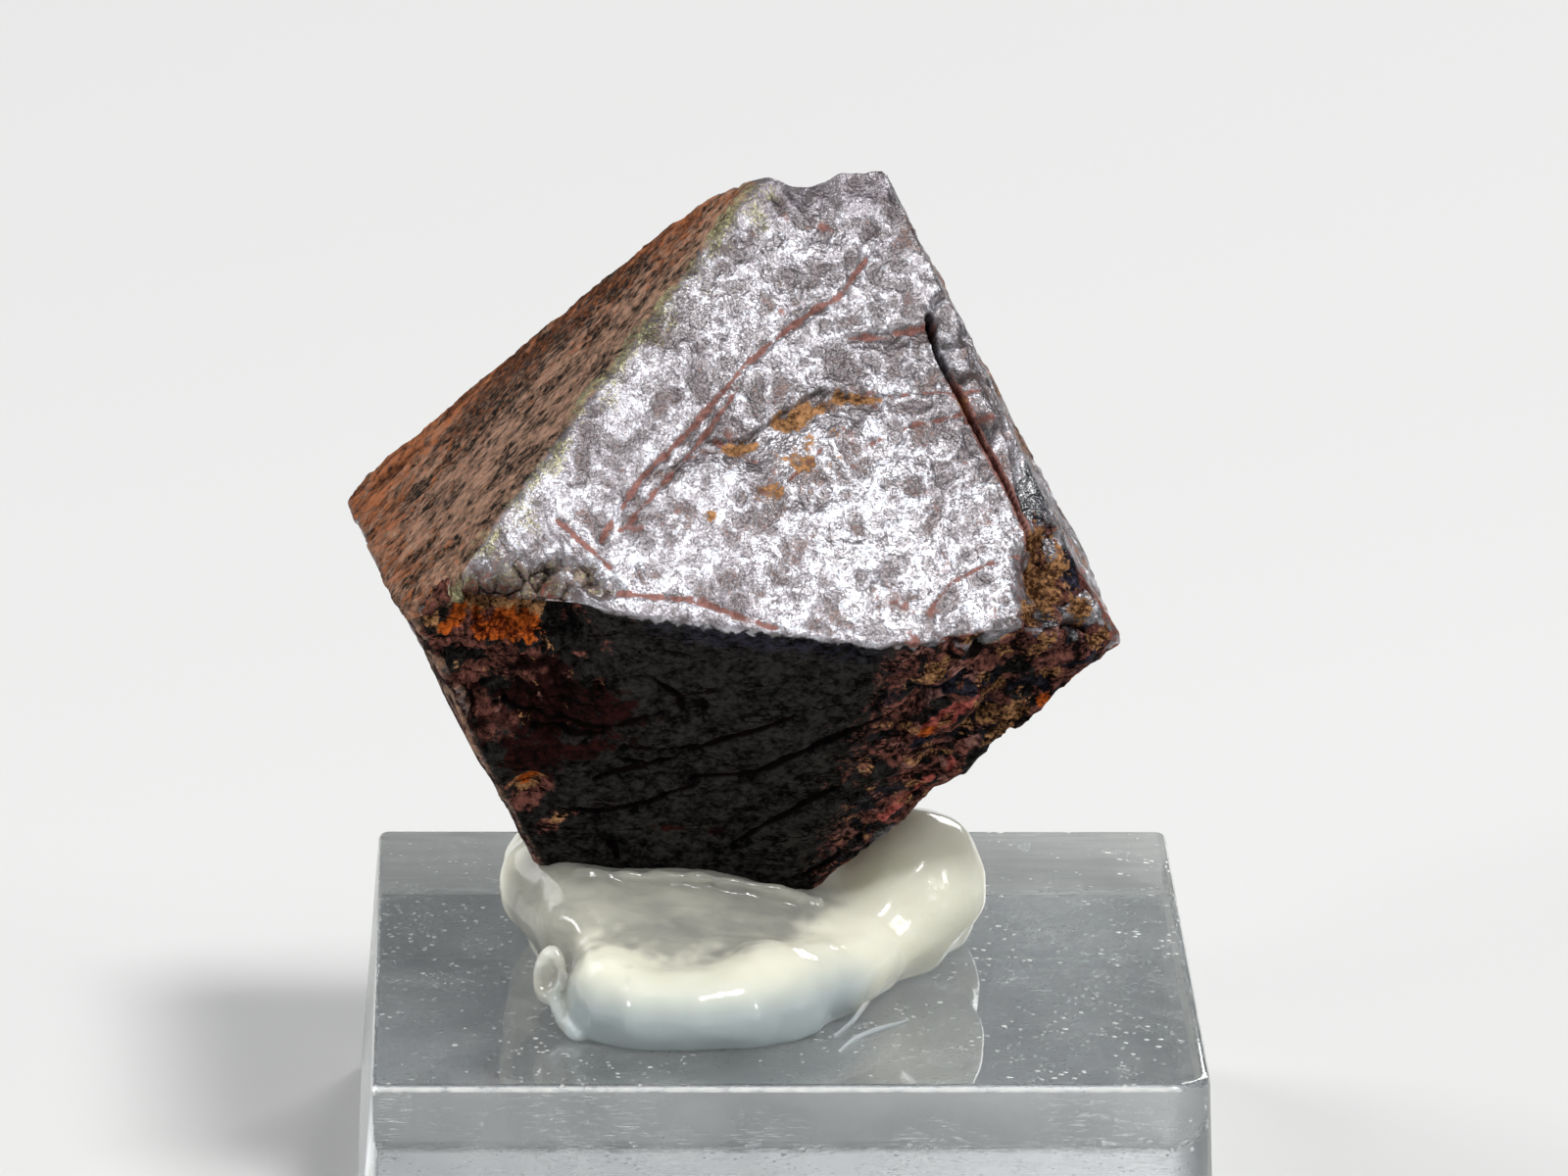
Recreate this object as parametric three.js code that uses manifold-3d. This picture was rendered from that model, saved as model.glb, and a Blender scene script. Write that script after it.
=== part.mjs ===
// A magnetite octahedron held by milky hot-melt glue on a small clear acrylic block.
// Millimetres, +Z up. The origin is the centre of the block's underside; the front is -Y.

import * as THREE from 'three';
import { ConvexGeometry } from 'three/addons/geometries/ConvexGeometry.js';
import { mergeVertices } from 'three/addons/utils/BufferGeometryUtils.js';
import Module from 'manifold-3d';

const wasm = await Module();
wasm.setup();

// ---- Driving dimensions ----

const BLOCK = {
  side: 25.4, // of the top face, along X and Y
  height: 8,
  flare: { left: 0.6, right: 0.3, front: 0.2, back: 0.2 }, // how much further out the underside reaches
  corner: 0.35, // radius of the upright edges
  wornCorner: 1.3, // radius of the front right upright edge
  bevel: 0.2, // round the top and the underside
  cornerSteps: 6,
};

const CRYSTAL = {
  centre: [-1.5, 0, 20.5],
  turn: [95.9, 47.8, 77.9], // of the crystal axes, degrees about X, Y and Z
  foot: 8.8, // height of the flat that stands in the glue
  edgeWear: 0.07, // how soft the edges are
  meshStep: 1.3, // longest triangle side on the faces
};

// The broad unevenness of the faces: its grain sizes, their shares and how far it lies below the face.
const RELIEF = { grains: [2.1, 1.05], shares: [0.65, 0.35], shift: -0.4 };

// The octahedral faces: Miller index and distance from the centre. Two grew 2 or 3 degrees askew.
// roughness is the height of the uneven relief on a face.
const FACES = {
  front: { index: [1, 1, 1], distance: 8.82, roughness: 0.08 },
  upperLeft: { index: [1, 1, -1], distance: 8.54, roughness: 0.1 },
  lowerFront: { index: [-1, 1, 1], distance: 8.1, roughness: 0.08 },
  right: { index: [1, -1, 1], distance: 9.8, roughness: 0.1 },
  left: { normal: [-0.881, -0.131, -0.455], distance: 9.8, roughness: 0.1 },
  back: { index: [1, -1, -1], distance: 8.12, roughness: 0.12 },
  lowerRight: { normal: [0.702, 0.026, -0.712], distance: 8.3, roughness: 0.15 },
  lowerBack: { index: [-1, -1, -1], distance: 8.92, roughness: 0.12 },
  // where pieces have broken away: the tip, the lower right corner and the edge below it
  brokenTip: { normal: [-0.088, 0.42, 0.9], distance: 11.2, roughness: 0.12 },
  brokenCorner: { normal: [0.549, -0.698, 0.46], distance: 11.41, roughness: 0.35 },
  brokenEdge: { normal: [0.258, -0.789, -0.557], distance: 8.92, roughness: 0.3 },
  foot: { normal: [0, 0, -1], distance: CRYSTAL.centre[2] - CRYSTAL.foot, roughness: 0 },
};

// Pits and dips: the face, its place there (across, up), half sizes, turn in degrees and depth.
const HOLLOWS = [
  { face: 'brokenTip', at: [-1.8, 5], size: [1.1, 9], turn: 0, depth: 0.55 }, // notch in the tip
  { face: 'lowerFront', at: [-6.7, 7.1], size: [3.3, 1.9], turn: -8, depth: 1.4 }, // rusty hollow
  { face: 'lowerFront', at: [-6.2, -1.3], size: [1.0, 1.1], turn: 0, depth: 0.6 },
  { face: 'lowerFront', at: [-7.4, 3.6], size: [2.2, 2.0], turn: 0, depth: 0.45 },
  { face: 'brokenCorner', at: [2.3, -3.6], size: [1.0, 1.6], turn: 0, depth: 0.4 },
  { face: 'brokenCorner', at: [3.3, -5.4], size: [0.9, 0.6], turn: 0, depth: 0.9 },
  { face: 'front', at: [-0.6, 0.3], size: [1.6, 1.1], turn: 20, depth: 0.12 },
];
const HOLLOW_REACH = 0.8; // how far under its face a pit still shows

// The open fissure near the right edge of the front face: points (across, up) and half widths.
const FISSURE = {
  path: [[5.15, 4.7], [5.25, 3.5], [5.75, 2.1], [6.5, 0.1], [7.1, -1.5], [7.55, -2.9]],
  halfWidths: [0.16, 0.15, 0.11, 0.08, 0.1, 0.06],
  depth: 1.6,
  narrowing: 0.3, // share of the width that is left at the bottom
  overlap: 0.05, // of one stretch with the next
};

// The small ledge across the front face. Below its crest the face drops and rises again.
const LEDGE = {
  crest: [[-3.9, -0.1], [-2.2, 0.9], [-0.6, 1.2], [1.5, 2.4], [3.4, 2.2]],
  toe: [[-3.0, -0.9], [0.4, -0.6], [3.2, 1.4]],
  drop: 0.35,
};
const CUT_ABOVE = 0.6; // how far the fissure's and the ledge's cutters stand out of the face

// Runs of glue, joined softly: points (x, y, z) with the radius there.
const GLUE_RUNS = [
  // the front roll, from its left end to the right lobe
  [[-6.2, -6.5, 8.9, 0.95], [-5.3, -8.2, 9.0, 1.2], [-4.3, -8.75, 9.0, 1.25], [-3.0, -8.85, 9.0, 1.25],
    [-1.6, -8.4, 9.05, 1.35], [0.1, -7.3, 9.0, 1.25], [1.4, -5.6, 9.0, 1.2], [2.5, -3.2, 9.3, 1.4],
    [4.05, -1.0, 10.7, 2.05]],
  // from the right lobe round the back to the left lobe
  [[4.05, -1.0, 10.7, 2.05], [4.2, 1.6, 9.9, 1.9], [3.0, 4.2, 9.9, 1.8], [-0.5, 5.5, 9.6, 1.7],
    [-4.6, 5.0, 9.6, 1.6], [-6.8, 3.0, 10.0, 1.6], [-7.1, 0.4, 10.4, 1.6], [-7.2, -2.4, 11.0, 1.65],
    [-6.5, -4.8, 10.6, 1.3]],
  // the feet of the left and right lobes
  [[-6.6, -2.0, 9.0, 1.0], [-6.3, -4.6, 9.0, 1.0], [-6.2, -6.5, 8.9, 0.95]],
  [[3.4, -1.0, 9.0, 1.5], [4.4, 1.6, 9.0, 1.4]],
  // two swellings on the front roll
  [[-5.5, -7.6, 9.25, 1.15], [-5.4, -7.4, 9.25, 1.15]],
  [[-0.9, -7.3, 9.3, 1.35], [-0.7, -7.2, 9.3, 1.35]],
  // under the crystal
  [[-2.5, -1.5, 9.0, 3.4], [-1.5, 1.5, 9.0, 4.2]],
];
const GLUE_BLEND = 0.9; // how softly the runs join

// The slope from the crystal down to the front roll: each side's outward direction and a point on it.
const GLUE_APRON = [
  { normal: [0, -0.465, 0.885], at: [-4.0, -4.4, 11.95] },
  { normal: [0.37, -0.45, 0.81], at: [0.95, -3.9, 10.9] },
  { normal: [-0.97, -0.22, 0], at: [-6.7, -5.0, 9.5] },
  { normal: [0.85, -0.5, 0.1], at: [1.6, -5.6, 9.5] },
  { normal: [0, -1, 0], at: [0, -8.8, 9] },
  { normal: [0, 1, 0], at: [0, 1, 9] },
  { normal: [0, 0, 1], at: [0, 0, 12.7] },
];
const APRON_BLEND = 0.8;

// A curl at the left end of the front roll: its middle, the way it faces, and the radii of its ring
// and of the ring's wall.
const GLUE_CURL = { at: [-7.25, -6.7, 9.45], facing: [-0.35, -0.9, 0.3], ring: 0.48, wall: 0.2 };

const GLUE_GAP = 0.45; // between the crystal's true planes and the glue
const GLUE_HUB = [-2, -2]; // over this point the glue's mesh has its pole
const GLUE_SIDES = 72;
const GLUE_LEVELS = 14;
const GLUE_CROWDING = 1.6; // how much closer the mesh's levels are near the block than at the pole

// ---- Small tools ----

// A closed mesh as a manifold-3d solid, for joining and cutting.
function solidOf(geometry) {
  const bare = geometry.clone();
  bare.deleteAttribute('normal');
  bare.deleteAttribute('uv');
  const merged = mergeVertices(bare, 1e-4);
  return new wasm.Manifold(new wasm.Mesh({
    numProp: 3,
    vertProperties: new Float32Array(merged.attributes.position.array),
    triVerts: new Uint32Array(merged.index.array),
  }));
}

function geometryOf(solid) {
  const mesh = solid.getMesh();
  const geometry = new THREE.BufferGeometry();
  geometry.setAttribute('position', new THREE.BufferAttribute(mesh.vertProperties, 3));
  geometry.setIndex(new THREE.BufferAttribute(mesh.triVerts, 1));
  return geometry;
}

// A closed geometry from rings of points, each running anticlockwise seen from above, lowest first.
function loft(rings) {
  const sides = rings[0].length;
  const points = rings.flat();
  const index = [];
  for (let level = 0; level < rings.length - 1; level++) {
    for (let i = 0; i < sides; i++) {
      const a = level * sides + i;
      const b = level * sides + (i + 1) % sides;
      index.push(a, b, b + sides, a, b + sides, a + sides);
    }
  }
  const middle = (ring) => {
    const sum = ring.reduce((total, point) => total.add(point), new THREE.Vector3());
    return sum.divideScalar(ring.length);
  };
  const lowest = points.push(middle(rings[0])) - 1;
  const highest = points.push(middle(rings[rings.length - 1])) - 1;
  const top = (rings.length - 1) * sides;
  for (let i = 0; i < sides; i++) {
    const next = (i + 1) % sides;
    index.push(lowest, next, i, highest, top + i, top + next);
  }
  const geometry = new THREE.BufferGeometry().setFromPoints(points);
  geometry.setIndex(index);
  return geometry;
}

const LATTICE_AXIS = new THREE.Vector3(1, 2, 3).normalize();
const LATTICE_TURN = -0.9; // keeps the noise's lattice off the axes
const SCATTER = [[127.1, 311.7, 74.7], [269.5, 183.3, 246.1], [113.5, 271.9, 124.6]];
const SCATTER_SCALE = 43758.5453;
const NOISE_HEIGHT = 4.4; // brings the noise to about -1 to 1

// A steady direction for each lattice point.
function slopeAt(corner) {
  return new THREE.Vector3(...SCATTER.map((weights) => {
    const wave = Math.sin(corner.dot(new THREE.Vector3(...weights))) * SCATTER_SCALE;
    return wave - Math.floor(wave) - 0.5;
  }));
}

// Smooth noise of the given grain size, about -1 to 1.
function noise(point, size) {
  const cell = point.clone().applyAxisAngle(LATTICE_AXIS, LATTICE_TURN).divideScalar(size);
  const corner = cell.clone().floor();
  const within = cell.clone().sub(corner);
  const ease = (t) => t ** 3 * (t * (6 * t - 15) + 10);
  let total = 0;
  for (let n = 0; n < 8; n++) {
    const step = new THREE.Vector3(n & 1, (n >> 1) & 1, n >> 2);
    let share = 1;
    for (const axis of ['x', 'y', 'z']) {
      const far = ease(within[axis]);
      share *= step[axis] ? far : 1 - far;
    }
    total += share * slopeAt(corner.clone().add(step)).dot(within.clone().sub(step));
  }
  return total * NOISE_HEIGHT;
}

function material(colour, roughness, metalness) {
  return new THREE.MeshStandardMaterial({ color: colour, roughness, metalness });
}

// ---- The acrylic block ----

// Its outline at height z, drawn in by inset, with round upright edges.
function blockRing(z, inset) {
  const spread = 1 - z / BLOCK.height;
  const half = BLOCK.side / 2 - inset;
  const right = half + BLOCK.flare.right * spread;
  const left = half + BLOCK.flare.left * spread;
  const front = half + BLOCK.flare.front * spread;
  const back = half + BLOCK.flare.back * spread;
  const corners = [
    { x: right, y: -front, from: -90, radius: BLOCK.wornCorner },
    { x: right, y: back, from: 0, radius: BLOCK.corner },
    { x: -left, y: back, from: 90, radius: BLOCK.corner },
    { x: -left, y: -front, from: 180, radius: BLOCK.corner },
  ];
  const steps = BLOCK.cornerSteps;
  const ring = [];
  for (const corner of corners) {
    const radius = corner.radius - inset;
    for (let step = 0; step <= steps; step++) {
      const angle = THREE.MathUtils.degToRad(corner.from + 90 * step / steps);
      ring.push(new THREE.Vector3(
        corner.x - Math.sign(corner.x) * radius + radius * Math.cos(angle),
        corner.y - Math.sign(corner.y) * radius + radius * Math.sin(angle),
        z,
      ));
    }
  }
  return ring;
}

function buildBlock() {
  const { height, bevel } = BLOCK;
  const halfway = bevel * (1 - Math.SQRT1_2); // the bevel's round, halfway round it
  return loft([
    blockRing(0, bevel),
    blockRing(halfway, halfway),
    blockRing(bevel, 0),
    blockRing(height - bevel, 0),
    blockRing(height - halfway, halfway),
    blockRing(height, bevel),
  ]);
}

// ---- The crystal, built round its own centre ----

const axesTurn = new THREE.Euler(...CRYSTAL.turn.map(THREE.MathUtils.degToRad), 'XYZ');
const up = new THREE.Vector3(0, 0, 1);

// Each face with its normal, its distance and its own directions across and up.
const planes = Object.entries(FACES).map(([name, face]) => {
  const normal = face.normal
    ? new THREE.Vector3(...face.normal).normalize()
    : new THREE.Vector3(...face.index).normalize().applyEuler(axesTurn);
  const across = new THREE.Vector3().crossVectors(up, normal);
  if (across.length() < 1e-6) {
    across.set(1, 0, 0);
  }
  across.normalize();
  const upward = new THREE.Vector3().crossVectors(normal, across);
  return { name, normal, across, upward, distance: face.distance, roughness: face.roughness };
});
const planeNamed = Object.fromEntries(planes.map((plane) => [plane.name, plane]));

// The corners where three planes meet, with every plane moved out by margin.
function polyhedronCorners(margin) {
  const corners = [];
  for (let a = 0; a < planes.length; a++) {
    for (let b = a + 1; b < planes.length; b++) {
      for (let c = b + 1; c < planes.length; c++) {
        const [p, q, r] = [planes[a], planes[b], planes[c]];
        const crossing = new THREE.Vector3().crossVectors(q.normal, r.normal);
        const volume = p.normal.dot(crossing);
        if (Math.abs(volume) < 1e-5) {
          continue;
        }
        const corner = crossing.multiplyScalar(p.distance + margin);
        const second = new THREE.Vector3().crossVectors(r.normal, p.normal);
        const third = new THREE.Vector3().crossVectors(p.normal, q.normal);
        corner.addScaledVector(second, q.distance + margin);
        corner.addScaledVector(third, r.distance + margin);
        corner.divideScalar(volume);
        if (planes.every((plane) => plane.normal.dot(corner) <= plane.distance + margin + 1e-6)) {
          corners.push(corner);
        }
      }
    }
  }
  return corners;
}

// Each face as a fan of triangles round its middle, with the corners shared.
function facetFans(corners) {
  const points = [...corners];
  const triangles = [];
  for (const plane of planes) {
    const own = corners.map((corner, i) => i)
      .filter((i) => Math.abs(plane.normal.dot(corners[i]) - plane.distance) < 1e-4);
    const middle = new THREE.Vector3();
    own.forEach((i) => middle.addScaledVector(corners[i], 1 / own.length));
    const angle = (i) => {
      const arm = corners[i].clone().sub(middle);
      return Math.atan2(arm.dot(plane.upward), arm.dot(plane.across));
    };
    own.sort((i, j) => angle(i) - angle(j));
    const hub = points.push(middle) - 1;
    own.forEach((i, n) => triangles.push([hub, i, own[(n + 1) % own.length]]));
  }
  return { points, triangles };
}

// Halves every triangle side longer than limit until none is left.
function refine({ points, triangles }, limit) {
  let work = triangles;
  for (let busy = true; busy;) {
    busy = false;
    const halves = new Map();
    const halfOf = (a, b) => {
      if (points[a].distanceTo(points[b]) <= limit) {
        return -1;
      }
      const key = a < b ? `${a} ${b}` : `${b} ${a}`;
      if (!halves.has(key)) {
        halves.set(key, points.push(points[a].clone().lerp(points[b], 0.5)) - 1);
      }
      return halves.get(key);
    };
    const next = [];
    for (const triangle of work) {
      // the longest side comes first, so that it is the one that a lone cut goes through
      const lengths = [0, 1, 2].map((i) => points[triangle[i]].distanceTo(points[triangle[(i + 1) % 3]]));
      const first = lengths.indexOf(Math.max(...lengths));
      const [a, b, c] = [0, 1, 2].map((i) => triangle[(first + i) % 3]);
      const ab = halfOf(a, b);
      const bc = halfOf(b, c);
      const ca = halfOf(c, a);
      if (ab < 0) {
        next.push([a, b, c]);
        continue;
      }
      busy = true;
      if (bc >= 0 && ca >= 0) {
        next.push([a, ab, ca], [ab, c, ca], [ab, b, bc], [ab, bc, c]);
      } else if (bc >= 0) {
        next.push([a, ab, c], [ab, b, bc], [ab, bc, c]);
      } else if (ca >= 0) {
        next.push([a, ab, ca], [ab, c, ca], [ab, b, c]);
      } else {
        next.push([a, ab, c], [ab, b, c]);
      }
    }
    work = next;
  }
  return { points, triangles: work };
}

// How deep the pits are at a point on the crystal.
function hollowDepth(point) {
  let depth = 0;
  for (const hollow of HOLLOWS) {
    const plane = planeNamed[hollow.face];
    const below = plane.distance - plane.normal.dot(point);
    const turn = THREE.MathUtils.degToRad(hollow.turn);
    const x = plane.across.dot(point) - hollow.at[0];
    const y = plane.upward.dot(point) - hollow.at[1];
    const s = (x * Math.cos(turn) + y * Math.sin(turn)) / hollow.size[0];
    const t = (y * Math.cos(turn) - x * Math.sin(turn)) / hollow.size[1];
    const inside = Math.max(0, 1 - s * s - t * t);
    depth += hollow.depth * inside ** 1.5 * Math.exp(-Math.max(0, below) / HOLLOW_REACH);
  }
  return depth;
}

// Moves a point of the flat polyhedron to the worn, uneven surface.
function weather(point) {
  const nearness = planes.map((plane) => (
    Math.exp((plane.normal.dot(point) - plane.distance) / CRYSTAL.edgeWear)));
  const total = nearness.reduce((sum, near) => sum + near, 0);
  const outward = new THREE.Vector3();
  let roughness = 0;
  planes.forEach((plane, i) => {
    outward.addScaledVector(plane.normal, nearness[i] / total);
    roughness += plane.roughness * nearness[i] / total;
  });
  outward.normalize();
  const wear = CRYSTAL.edgeWear * Math.log(total);
  const relief = RELIEF.grains.reduce(
    (sum, grain, i) => sum + RELIEF.shares[i] * noise(point, grain),
    RELIEF.shift,
  );
  return point.clone().addScaledVector(outward, roughness * relief - wear - hollowDepth(point));
}

// A point given by its place on a face and its height above it.
function onFace(name, [across, upward], height) {
  const plane = planeNamed[name];
  return new THREE.Vector3()
    .addScaledVector(plane.across, across)
    .addScaledVector(plane.upward, upward)
    .addScaledVector(plane.normal, plane.distance + height);
}

// The fissure as a blade that narrows towards its bottom.
function fissureSolid() {
  let blade = null;
  for (let i = 0; i < FISSURE.path.length - 1; i++) {
    const start = new THREE.Vector2(...FISSURE.path[i]);
    const end = new THREE.Vector2(...FISSURE.path[i + 1]);
    const along = end.clone().sub(start).normalize();
    const side = new THREE.Vector2(-along.y, along.x);
    start.addScaledVector(along, -FISSURE.overlap);
    end.addScaledVector(along, FISSURE.overlap);
    const corners = [];
    for (const [point, half] of [[start, FISSURE.halfWidths[i]], [end, FISSURE.halfWidths[i + 1]]]) {
      for (const way of [-1, 1]) {
        for (const [height, share] of [[CUT_ABOVE, 1], [0, 1], [-FISSURE.depth, FISSURE.narrowing]]) {
          const place = point.clone().addScaledVector(side, way * half * share);
          corners.push(onFace('front', [place.x, place.y], height));
        }
      }
    }
    const piece = solidOf(new ConvexGeometry(corners));
    blade = blade ? blade.add(piece) : piece;
  }
  return blade;
}

// The wedge that the ledge leaves out: full depth under the crest, nothing at the toe.
function ledgeSolid() {
  const corners = [];
  LEDGE.crest.forEach((place, i) => {
    const tip = i === 0 || i === LEDGE.crest.length - 1;
    corners.push(onFace('front', place, CUT_ABOVE));
    corners.push(onFace('front', place, tip ? 0 : -LEDGE.drop));
  });
  LEDGE.toe.forEach((place) => {
    corners.push(onFace('front', place, CUT_ABOVE));
    corners.push(onFace('front', place, 0));
  });
  return solidOf(new ConvexGeometry(corners));
}

function buildCrystal() {
  const { points, triangles } = refine(facetFans(polyhedronCorners(0)), CRYSTAL.meshStep);
  const geometry = new THREE.BufferGeometry().setFromPoints(points.map(weather));
  geometry.setIndex(triangles.flat());
  return geometryOf(solidOf(geometry).subtract(fissureSolid()).subtract(ledgeSolid()));
}

// ---- The glue ----

// Distance to a run's surface, below zero inside.
function runGap(point, run) {
  let nearest = Infinity;
  for (let i = 0; i < run.length - 1; i++) {
    const start = new THREE.Vector3(...run[i]);
    const end = new THREE.Vector3(...run[i + 1]);
    const line = end.clone().sub(start);
    const share = THREE.MathUtils.clamp(point.clone().sub(start).dot(line) / line.lengthSq(), 0, 1);
    const radius = THREE.MathUtils.lerp(run[i][3], run[i + 1][3], share);
    nearest = Math.min(nearest, point.distanceTo(start.lerp(end, share)) - radius);
  }
  return nearest;
}

// The smaller of two values, rounded off where they are alike.
function softMin(first, second, softness) {
  const share = THREE.MathUtils.clamp(0.5 + 0.5 * (second - first) / softness, 0, 1);
  return THREE.MathUtils.lerp(second, first, share) - softness * share * (1 - share);
}

function apronGap(point) {
  const sides = GLUE_APRON.map(({ normal, at }) => {
    const outward = new THREE.Vector3(...normal).normalize();
    return point.clone().sub(new THREE.Vector3(...at)).dot(outward);
  });
  return sides.reduce((gap, side) => -softMin(-gap, -side, APRON_BLEND));
}

// About the distance to the glue's surface, below zero inside.
function glueGap(point) {
  return GLUE_RUNS.reduce((gap, run) => softMin(gap, runGap(point, run), GLUE_BLEND), apronGap(point));
}

// Where the ray from the hub leaves the glue.
function glueExit(hub, direction) {
  const stride = 0.1;
  const halvings = 12;
  let [inner, outer] = [0, 0];
  const at = (reach) => hub.clone().addScaledVector(direction, reach);
  while (glueGap(at(outer)) < 0) {
    inner = outer;
    outer += stride;
  }
  for (let halving = 0; halving < halvings; halving++) {
    const middle = (inner + outer) / 2;
    [inner, outer] = glueGap(at(middle)) < 0 ? [middle, outer] : [inner, middle];
  }
  return at(inner);
}

function glueCurl() {
  const { at, facing, ring, wall } = GLUE_CURL;
  const [wallSides, ringSides] = [8, 18];
  const curl = new THREE.TorusGeometry(ring, wall, wallSides, ringSides);
  const turn = new THREE.Quaternion()
    .setFromUnitVectors(new THREE.Vector3(0, 0, 1), new THREE.Vector3(...facing).normalize());
  curl.applyQuaternion(turn);
  return solidOf(curl.translate(...at));
}

function buildGlue() {
  const hub = new THREE.Vector3(...GLUE_HUB, BLOCK.height);
  const rings = [];
  for (let level = 0; level < GLUE_LEVELS; level++) {
    const slope = Math.PI / 2 * (level / GLUE_LEVELS) ** GLUE_CROWDING;
    const ring = [];
    for (let side = 0; side < GLUE_SIDES; side++) {
      const angle = 2 * Math.PI * side / GLUE_SIDES;
      const direction = new THREE.Vector3(
        Math.cos(slope) * Math.cos(angle),
        Math.cos(slope) * Math.sin(angle),
        Math.sin(slope),
      );
      ring.push(glueExit(hub, direction));
    }
    rings.push(ring);
  }
  const room = new ConvexGeometry(polyhedronCorners(GLUE_GAP));
  room.translate(...CRYSTAL.centre);
  return geometryOf(solidOf(loft(rings)).add(glueCurl()).subtract(solidOf(room)));
}

// ---- The object ----

const magnetite = material(0x4a4442, 0.45, 0.6);
const glue = material(0xe6e4d2, 0.25, 0);
const acrylic = material(0xd8dcdc, 0.05, 0);

const block = new THREE.Mesh(buildBlock(), acrylic);
block.name = 'acrylic_block';

const glueLump = new THREE.Mesh(buildGlue(), glue);
glueLump.name = 'hot_glue';

const crystal = new THREE.Mesh(buildCrystal(), magnetite);
crystal.name = 'magnetite_crystal';
crystal.position.set(...CRYSTAL.centre);

const specimen = new THREE.Group();
specimen.add(block, glueLump, crystal);

export default specimen;
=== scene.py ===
# Looks of the magnetite octahedron, its hot-melt glue and its clear acrylic block.
# Lengths in the named values are millimetres; MM turns them into Blender's metres.

import itertools
import math
from functools import partialmethod

import bpy
import numpy as np
from mathutils import Matrix, Vector


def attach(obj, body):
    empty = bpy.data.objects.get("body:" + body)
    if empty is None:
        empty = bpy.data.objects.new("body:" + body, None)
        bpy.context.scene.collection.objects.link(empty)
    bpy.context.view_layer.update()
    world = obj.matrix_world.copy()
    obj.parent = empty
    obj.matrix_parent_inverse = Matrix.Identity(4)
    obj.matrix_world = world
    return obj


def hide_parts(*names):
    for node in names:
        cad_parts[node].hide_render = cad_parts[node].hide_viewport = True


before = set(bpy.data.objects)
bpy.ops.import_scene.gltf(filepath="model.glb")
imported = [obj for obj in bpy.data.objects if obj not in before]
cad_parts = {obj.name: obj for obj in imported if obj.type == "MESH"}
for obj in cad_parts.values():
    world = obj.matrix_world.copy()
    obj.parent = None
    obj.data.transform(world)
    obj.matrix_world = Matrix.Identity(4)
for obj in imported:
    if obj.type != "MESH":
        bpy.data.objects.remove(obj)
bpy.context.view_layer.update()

MM = 0.001

# ---- The crystal's planes, as in the part's source ----

CENTRE = np.array([-1.5, 0.0, 20.5])
TURN = (95.9, 47.8, 77.9)  # of the crystal axes, degrees about X, Y and Z
FOOT = 8.8

# Miller index or normal, distance from the centre, height of the broad relief and of the lumps
FACES = {
    "front": {"index": (1, 1, 1), "distance": 8.82, "relief": 0.08, "lumps": 0.0},
    "upperLeft": {"index": (1, 1, -1), "distance": 8.54, "relief": 0.10, "lumps": 0.0},
    "lowerFront": {"index": (-1, 1, 1), "distance": 8.10, "relief": 0.08, "lumps": 0.02},
    "right": {"index": (1, -1, 1), "distance": 9.80, "relief": 0.10, "lumps": 0.08},
    "left": {"normal": (-0.881, -0.131, -0.455), "distance": 9.80, "relief": 0.10, "lumps": 0.05},
    "back": {"index": (1, -1, -1), "distance": 8.12, "relief": 0.12, "lumps": 0.03},
    "lowerRight": {"normal": (0.702, 0.026, -0.712), "distance": 8.30, "relief": 0.15, "lumps": 0.10},
    "lowerBack": {"index": (-1, -1, -1), "distance": 8.92, "relief": 0.12, "lumps": 0.04},
    "brokenTip": {"normal": (-0.088, 0.42, 0.9), "distance": 11.20, "relief": 0.12, "lumps": 0.08},
    "brokenCorner": {"normal": (0.549, -0.698, 0.46), "distance": 11.41, "relief": 0.35, "lumps": 0.18},
    "brokenEdge": {"normal": (0.258, -0.789, -0.557), "distance": 8.92, "relief": 0.30, "lumps": 0.12},
    "foot": {"normal": (0, 0, -1), "distance": CENTRE[2] - FOOT, "relief": 0.0, "lumps": 0.0},
}
# Longest triangle side on each face, on the other faces, and where the surface is crumbly or cleft
STEPS = {"front": 0.15, "upperLeft": 0.23, "lowerFront": 0.23, "brokenTip": 0.2, "brokenCorner": 0.17,
         "brokenEdge": 0.17}
COARSE_STEP = 0.3
CRUMBLY_STEP = 0.16
RIM_STEP = 0.11
CREVICE_STEP = 0.09
CREVICE_REACH = 0.35  # how far from its middle a cleft has that fine a mesh

# How the faces meet
LOOK_BLEND = 0.18  # width over which one face's look gives way to the next one's
OUTWARD_BLEND = 0.2  # and its direction outward
EDGE_REACH = 0.5  # of what follows an edge
EDGE_WEAR = 0.07
RIDGE_WEAR = 0.2  # on the ridge between the two upper faces
LEFT_EDGE_WEAR = 0.24  # on the lower left edge
# Blunt corners on the right and the left: place about the crystal's centre, wear and reach
BLUNT_CORNERS = [((11.78, -7.25, -0.28), 0.25, 1.1), ((-12.28, 9.06, -0.38), 0.14, 1.2)]
TIP_REACH = 2.4  # of the broken ground's colours round the right one
NICK_DEPTH = 0.3  # of the nicks along the edges
BROKEN_RISE = 0.3  # brings the tops of the broken ground out to its plane
OUTER_RISE = 0.1  # and those of the upper left face and the faces turned away

# Relief of the faces turned from the camera
AWAY = ("right", "back", "left", "lowerBack", "lowerRight")
STEP_RISE = 0.09  # of the growth steps
SCORE_SPACING = 2.9  # between the fine lines
SCORE_TURNS = (15, 78, 137)  # directions of those lines, in degrees
SCORE_DEPTH = 0.07
FAR_PIT_DEPTH = 0.12

# Relief of the front face
HUMMOCK_HEIGHT = 0.07
CREST_HEIGHT = 0.04
PIT_RIM_HEIGHT = 0.02
PIT_DEPTH = 0.08

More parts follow.
